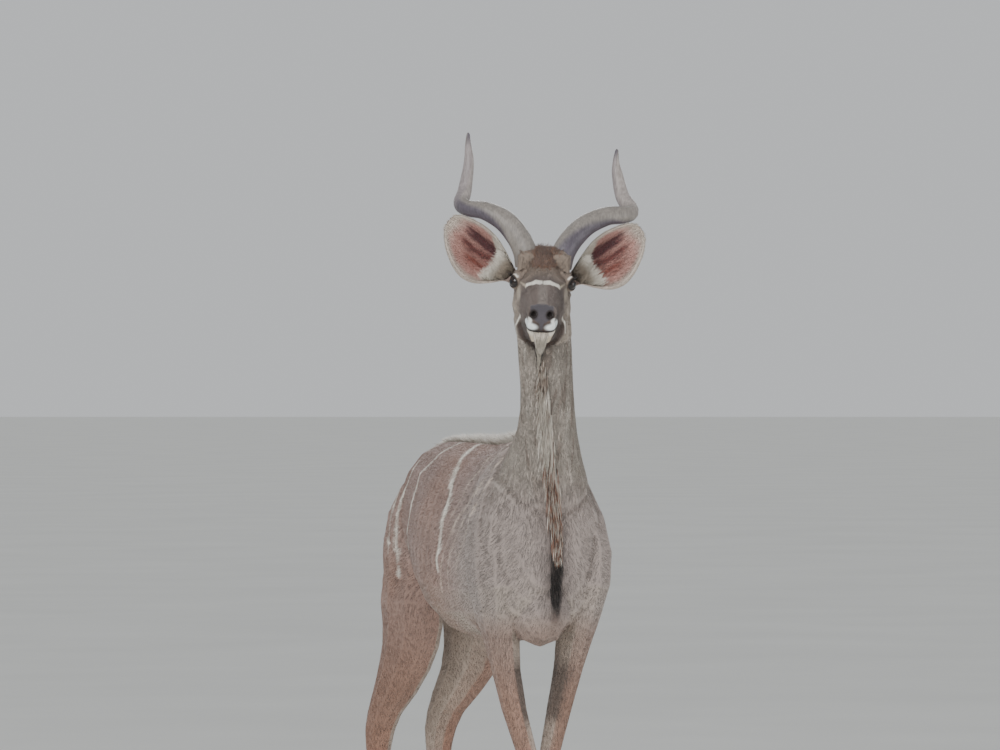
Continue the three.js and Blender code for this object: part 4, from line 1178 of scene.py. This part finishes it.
def short_coat(surface, material):
    """Flat tufts over the whole body, a piece for each part of it."""
    place = surface.place
    hairy = 1 - bare(place)
    face, ear, neck = place.face, place.ear, place.neck
    leg = place.leg * (1 - face)
    trunk = np.clip(1 - face - ear - neck - leg, 0, 1)
    right = (place.x < MIDLINE).astype(float)
    kinds = [  # name, where, tufts, length, width, lift, slot
        ("coat_flank_right", trunk * right, 44000, 12, 1.7, 0.6, "flank_coat"),
        ("coat_flank_left", trunk * (1 - right), 44000, 12, 1.7, 0.6, "flank_coat"),
        ("coat_neck", neck, 42000, 13, 1.5, 0.7, "neck_coat"),
        ("coat_forelegs", leg * place.fore, 32000, 8, 1.4, 0.5, "leg_coat"),
        ("coat_hindlegs", leg * place.hind, 36000, 9, 1.5, 0.5, "leg_coat"),
        ("coat_face", face * hairy * (1 + 2 * smooth(1440, 1520, place.z)), 42000, 6.0, 1.0, 0.45, "face_coat"),
        ("coat_ears", ear, 28000, 7.0, 0.9, 0.5, "face_coat")]
    for name, where, count, length, width, lift, slot in kinds:
        roots, normals = surface.scattered(where, count)
        at = Regions(roots)
        ways = lie_of(at, normals)
        sides = np.cross(ways, normals)
        ways = unit(ways + sides * rng.normal(0, 0.1, (len(roots), 1)))
        grown = rng.uniform(0.65, 1.25, len(roots))
        if name == "coat_face":
            grown = grown * (0.7 + 0.55 * smooth(120, 20, at.along))
            map_at = spread(at.along, np.arctan2(at.head[:, 0], at.up + 36))
        elif name == "coat_ears":
            inner = np.where(at.head[:, 0] < 0, normals @ EAR_AXES[-1][1][2], normals @ EAR_AXES[1][1][2]) > 0
            grown = grown * np.where(inner, 0.9, 1.0)
            map_at = spread(at.ear_t, at.ear_v / 80 + inner * 2.2 + (at.head[:, 0] > 0) * 4.6)
        elif name == "coat_neck":
            map_at = spread(at.z, np.arctan2(at.x + 10, at.y + 140))
        elif "leg" in name:
            grown = grown * (0.75 + 0.4 * smooth(200, 700, at.z))
            map_at = spread(at.z, leg_turn(at, at.x, at.y))
        else:
            map_at = spread(at.y, np.arctan2(np.abs(at.x - MIDLINE), at.z - 1060))
        tips = surface.above(roots + ways * (length * grown / 1000)[:, None], normals,
                             lift / 1000 * rng.uniform(0.3, 1.3, len(roots)))
        colours = coat_colours(roots + (tips - roots) * 0.55, normals) * rng.uniform(0.96, 1.04, (len(roots), 1))
        hair = Hair()
        hair.tufts(roots, normals, ways, tips, width * rng.uniform(0.7, 1.2, len(roots)), colours, map_at)
        hair.piece(name, material, slot)


# The neck's middle line: height, side, back and turn to the right
NECK_LINE = np.array([(1640, -42, -222, 0.34), (1585, -36, -212, 0.36), (1510, -26, -196, 0.4), (1421, -14, -174, 0.42),
                      (1330, 1, -138, 0.36), (1240, 11, -96, 0.26), (1140, 18, -40, 0.1), (1040, 22, 30, 0.0),
                      (940, 22, 60, 0.0)])[::-1]


def neck_line(z):
    return [np.interp(z, NECK_LINE[:, 0], NECK_LINE[:, k]) for k in (1, 2, 3)]


def from_stance(x, y, z):
    return STANCE + np.array([x, y, z]) / 1000


def tinted(shade):
    return np.asarray(shade) * rng.uniform(0.8, 1.15)


class Locks:
    """Locks of long hair, gathered one by one for a single piece."""

    def __init__(self):
        self.spots = []

    def add(self, *spot):
        """One lock: root, way, side, length, width, bend, base and tip colours."""
        self.spots.append(spot)

    def grow(self, root, way, side, long, widths, bend, shade, dim=0.9, tip=None):
        """One lock with a width between two, its own tint and a dimmer base."""
        width = rng.uniform(*widths)
        self.add(root, way, side, long, width, bend, tinted(shade) * dim, tinted(shade if tip is None else tip))

    def piece(self, material, name, slot, *replaced):
        roots, ways, sides, length, width, bend, base, tip = (np.array(part, float) for part in zip(*self.spots))
        hair = Hair()
        around = rng.random(len(roots))
        hair.locks(roots, unit(ways), unit(sides), length, width, bend, base, tip,
                   spread(roots @ unit(np.ptp(roots, axis=0)), around))
        return hair.piece(name, material, slot, *replaced)


BEARD_FOOT = 1440  # Over this height the fringe is the beard, on the chin
GREY_HAIR, RUSTY_HAIR, PALE_HAIR = linear(86, 70, 62), linear(150, 108, 88), linear(226, 218, 206)
# The fringe from the throat to the breast: the height over which each mix holds, and its colours by share
FRINGE_MIXES = [
    (1385, ((0.55, linear(168, 152, 138)), (0.8, GREY_HAIR), (1, PALE_HAIR))),
    (1235, ((0.78, PALE_HAIR), (0.92, linear(150, 130, 116)), (1, linear(92, 74, 66)))),
    (985, ((0.45, RUSTY_HAIR), (0.82, PALE_HAIR), (1, DARK_HAIR))),
    (0, ((0.8, BLACK_HAIR), (1, linear(88, 78, 74))))]


def fringe_lock(locks, surface, z):
    """One lock of the beard or of the fringe under it, where the skin is met."""
    beard = z > BEARD_FOOT
    x, y, turn = neck_line(z)
    front = AHEAD if beard else np.array([-math.sin(turn), -math.cos(turn), 0])
    side = FACE_LEFT if beard else np.array([-front[1], front[0], 0])
    half = np.interp(z, [880, 1000, 1200, 1400, 1440, 1450, 1502], [9, 9, 11, 9, 4, 6, 18])
    if beard:
        lean, foot = rng.uniform(-1, 1) * half, BETWEEN_EYES + FACE_UP * (z - 1618) / 1000
    else:
        lean = np.clip(rng.normal(0, half * 0.55), -half * 1.4, half * 1.4)
        foot = from_stance(x, y, z) if z >= 1040 else from_stance(MIDLINE, 0, z)
    root, _ = surface.met(foot + front * 0.4 + side * lean / 1000, -front, 0.9)
    if root is None:
        return
    long = np.interp(z, [880, 950, 1000, 1090, 1250, 1400, 1440, 1502], [26, 30, 34, 46, 58, 46, 24, 20])
    long = long * rng.uniform(0.6, 1.1)
    parted = lean * 0.02 if beard else -lean * 0.006
    way = front * (0.3 if beard else 0.5) - UP * 0.9 + side * rng.normal(0, 0.06) - side * parted
    pick = rng.random()
    if beard:
        # The beard's dark sides: partly dark hair, partly painted shadow under the jaw
        edge = smooth(0.72, 0.86, abs(lean) / half) * smooth(1492, 1470, z)
        shade = blend(linear(204, 194, 180), BLACK_HAIR, edge)
    else:
        mix = next(colours for over, colours in FRINGE_MIXES if z > over)
        shade = next(colour for share, colour in mix if pick < share)
    locks.grow(root, way, side, long, (1.5, 2.8), [0, 0.12, -0.3], shade)


def throat_fringe(surface, material):
    """Long hair down the throat: a cream beard edged dark, partly dark hair and partly painted shadow under the jaw,
    then white, then rusty, then dark on the breast.
    """
    locks = Locks()
    for k in range(5200):
        fringe_lock(locks, surface, rng.uniform(1436, 1502) if k < 1500 else rng.uniform(880, 1440))
    # Short hair under the jaw, so that the chin runs on into the throat, its dark sides partly dark hair and partly
    # painted shadow under the jaw
    for _ in range(1300):
        lean, along = rng.uniform(-14, 14), rng.uniform(70, 214)
        root, _ = surface.met(from_head(lean, along, -260), CROWNWARD, 0.4)
        if root is None:
            continue
        # Dark at the sides: partly dark hair, partly painted shadow under the jaw
        shade = linear(196, 184, 168) if abs(lean) < 8 else DARK_HAIR
        way = -UP * 0.5 - NOSEWARD * 0.7 + FACE_LEFT * rng.normal(0, 0.12)
        locks.grow(root, way, FACE_LEFT, rng.uniform(6, 14), (1.2, 2.0), -UP * 0.1, shade)
    return locks.piece(material, "throat_fringe_hair", "pale_hair", "throat_fringe")


def back_crest(surface, material):
    """The pale crest along the spine, leaning back."""
    locks = Locks()
    for _ in range(4200):
        y = rng.uniform(48, 866)
        lean = rng.normal(0, 3.6)
        root, _ = surface.met(from_stance(MIDLINE + lean, y, 1500), -UP, 0.8)
        if root is None:
            continue
        long = np.interp(y, [48, 110, 250, 600, 866], [14, 40, 46, 34, 20]) * rng.uniform(0.55, 1.1)
        across, back = lean * 0.05 + rng.normal(0, 0.16), rng.uniform(0.3, 0.8)
        way = np.array([across, back, rng.uniform(0.5, 0.85) * np.interp(y, [20, 500, 866], [1, 0.9, 0.6])])
        brown = 0.55 * rng.random() ** 2 + 0.25 * smooth(4, 9, abs(lean))
        shade = blend(WHITE_HAIR, linear(120, 92, 76), brown)
        locks.grow(root, way, np.array([1.0, 0, 0]), long, (1.3, 2.4), [0, 0.16, -0.16], shade, 0.82)
    return locks.piece(material, "back_crest_hair", "pale_hair", "back_crest")


def nape_mane(surface, material):
    """The darker mane from the crown down the nape to the withers."""
    locks = Locks()
    for _ in range(3600):
        z = rng.uniform(1225, 1650)
        x, y, turn = neck_line(z)
        behind = np.array([math.sin(turn), math.cos(turn), 0])
        side = np.array([behind[1], -behind[0], 0])
        lean = rng.normal(0, 4.0)
        root, _ = surface.met(from_stance(x, y, z) + behind * 0.5 + side * lean / 1000, -behind, 0.7)
        if root is None:
            continue
        long = np.interp(z, [1225, 1300, 1500, 1650], [34, 46, 46, 30]) * rng.uniform(0.6, 1.1)
        way = behind * 0.6 + side * (lean * 0.03 + rng.normal(0, 0.1)) - UP * 0.55
        shade = blend(linear(112, 84, 68), linear(196, 180, 160), rng.random() ** 3)
        locks.grow(root, way, side, long, (2.0, 3.4), behind * 0.05 - UP * 0.25, shade, 0.85)
    return locks.piece(material, "nape_mane_hair", "dark_hair", "nape_mane")


def tail_brush(material):
    """Hair down the tail to its dark tip, white beneath."""
    locks = Locks()
    low = in_body(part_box("tail_tuft")[0])[2] + 2
    for _ in range(3200):
        z = rng.uniform(842, 1000)
        angle = rng.uniform(0, 2 * math.pi)
        out = np.array([math.cos(angle), math.sin(angle), 0])
        centre = from_stance(MIDLINE, np.interp(z, [790, 860, 950, 1040], [984, 988, 990, 984]), z)
        long = min(rng.uniform(75, 125), (z - low) * rng.uniform(0.72, 1.0))
        way = out * 0.1 + np.array([rng.normal(0, 0.035), rng.normal(0, 0.035), -1])
        shade = linear(126, 98, 80) if out[1] > 0 else WHITE_HAIR
        tip = blend(shade, BLACK_HAIR, smooth(870, 800, z - long + 20))
        locks.grow(centre + out * [0.014, 0.008, 0], way, np.cross(out, UP), long, (2.2, 3.6), [0, 0.02, -0.02],
                   shade, 1.0, tip)
    return locks.piece(material, "tail_brush_hair", "dark_hair", "tail_tuft")


def forehead_tuft(surface, material):
    """The chestnut tuft between the horns."""
    locks = Locks()
    for _ in range(1700):
        side, along = rng.normal(0, 15), rng.uniform(-46, 20) + abs(rng.normal(0, 9))
        root, normal = surface.met(from_head(side, along, 200), -CROWNWARD, 0.3)
        if root is None:
            continue
        long = (8 + 10 * smooth(30, -20, along)) * rng.uniform(0.5, 1.4) * (1 - 0.5 * smooth(12, 30, abs(side)))
        way = normal * 0.6 - NOSEWARD * 0.7 + FACE_LEFT * (side * 0.03 + rng.normal(0, 0.35))
        shade = blend(linear(136, 104, 86), linear(96, 78, 68), rng.random())
        locks.grow(root, way, FACE_LEFT, long, (1.4, 2.4), -NOSEWARD * 0.2, shade, 0.8)
    return locks.piece(material, "forehead_tuft_hair", "dark_hair")


def on_ear(s, along, across, over=0.0):
    """A place in an ear's cup, by its share of the length and of the width."""
    root, (run, upward, opening) = EAR_AXES[s]
    upper, lower, cup = (np.interp(along, EAR_LEAF[:, 0], EAR_LEAF[:, k]) for k in (1, 2, 3))
    width = (upper if across > 0 else lower) * across
    depth = -cup * (1 - across * across) + over
    return root + run * along * EAR_LENGTH / 1000 + (upward * width + opening * depth) / 1000


def ear_hair(material):
    """White hair inside each ear by its inner edge, and a short fringe round its rim."""
    locks = Locks()
    for _, s in SIDES:
        run, upward, opening = EAR_AXES[s][1]
        for _ in range(1500):
            along, across = rng.uniform(-0.02, 0.2), rng.uniform(-0.95, 1.0)
            way = opening * 0.75 + run * 0.5 + upward * rng.normal(-0.25 * across, 0.2)
            shade = blend(linear(146, 134, 120), linear(218, 212, 200), smooth(0.02, 0.13, along))
            locks.add(on_ear(s, along, across, 1.5), way, upward, rng.uniform(16, 34), rng.uniform(1.2, 2.2),
                      run * 0.25, shade * 0.85, shade)
        for _ in range(1800):
            along, edge = rng.uniform(0.02, 0.99), rng.choice([-1, 1])
            across = edge * rng.uniform(0.9, 1.0)
            way = run * 0.6 + upward * edge * 0.55 + opening * rng.normal(0.25, 0.2)
            shade = EAR_RIM * rng.uniform(0.85, 1.12)
            locks.add(on_ear(s, along, across), way, opening, rng.uniform(4, 8.5), rng.uniform(0.9, 1.5),
                      -upward * edge * 0.15, shade * 0.9, shade)
    return locks.piece(material, "ear_hair", "pale_hair")


def lashes(material):
    locks = Locks()
    for name, s in SIDES:
        gaze, level, upward = eye_axes(s)
        for turn in np.linspace(0.35, 2.7, 46):
            edge = float(lid_edge(np.array([turn]))[0])
            root = on_eye(name, s, np.array([edge + 0.02]), np.array([turn]), np.array([19.6]))[0]
            way = gaze * 0.75 + (level * math.cos(turn) + upward * math.sin(turn)) * 0.7 - UP * 0.15
            locks.add(root, way + level * rng.normal(0, 0.08), level, rng.uniform(8, 12.5), 0.8,
                      upward * 0.25, BLACK_HAIR, BLACK_HAIR * 1.2)
    return locks.piece(material, "eyelashes", "dark_hair")


# Assembly
bpy.ops.object.select_all(action="DESELECT")
studio()
skin_hair = coat_finish("coat_skin", 0.5, 0.5)
tuft_hair = coat_finish("coat_hair", 0.35, 0.2, 0.62)
skin = skin_surface()
skin.data.materials.clear()
skin.data.materials.append(skin_hair)
paint(skin, coat_colours(points_of(skin), normals_of(skin)))
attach(skin, "root")
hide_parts(*FLESH, "ear_right", "ear_left")
surface = Surface(skin)
short_coat(surface, tuft_hair)
throat_fringe(surface, tuft_hair)
back_crest(surface, tuft_hair)
nape_mane(surface, tuft_hair)
tail_brush(tuft_hair)
forehead_tuft(surface, tuft_hair)
ear_hair(tuft_hair)
lashes(tuft_hair)
horn_stuff = hard_finish("horn_stuff", 0.5, 0.4, 0.1)
hoof_stuff = hard_finish("hoof_stuff", 0.45, 0.35, 0.2)
eye_stuff = eye_finish()
for name, s in SIDES:
    sheath = horn(name, s, horn_stuff)
    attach(sheath, "root")
    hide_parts("horn_" + name)
    ball = eyeball(name, s, eye_stuff)
    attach(ball, "root")
    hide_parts("eye_" + name)
    lid = lids(name, s, skin_hair)
    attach(lid, "root")
    for leg in ("fore", "hind"):
        for toe in ("inner", "outer"):
            for kind in ("hoof", "dewclaw"):
                node = f"{kind}_{leg}_{name}_{toe}"
                claw = hoof_piece(node, hoof_stuff)
                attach(claw, "root")
                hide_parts(node)
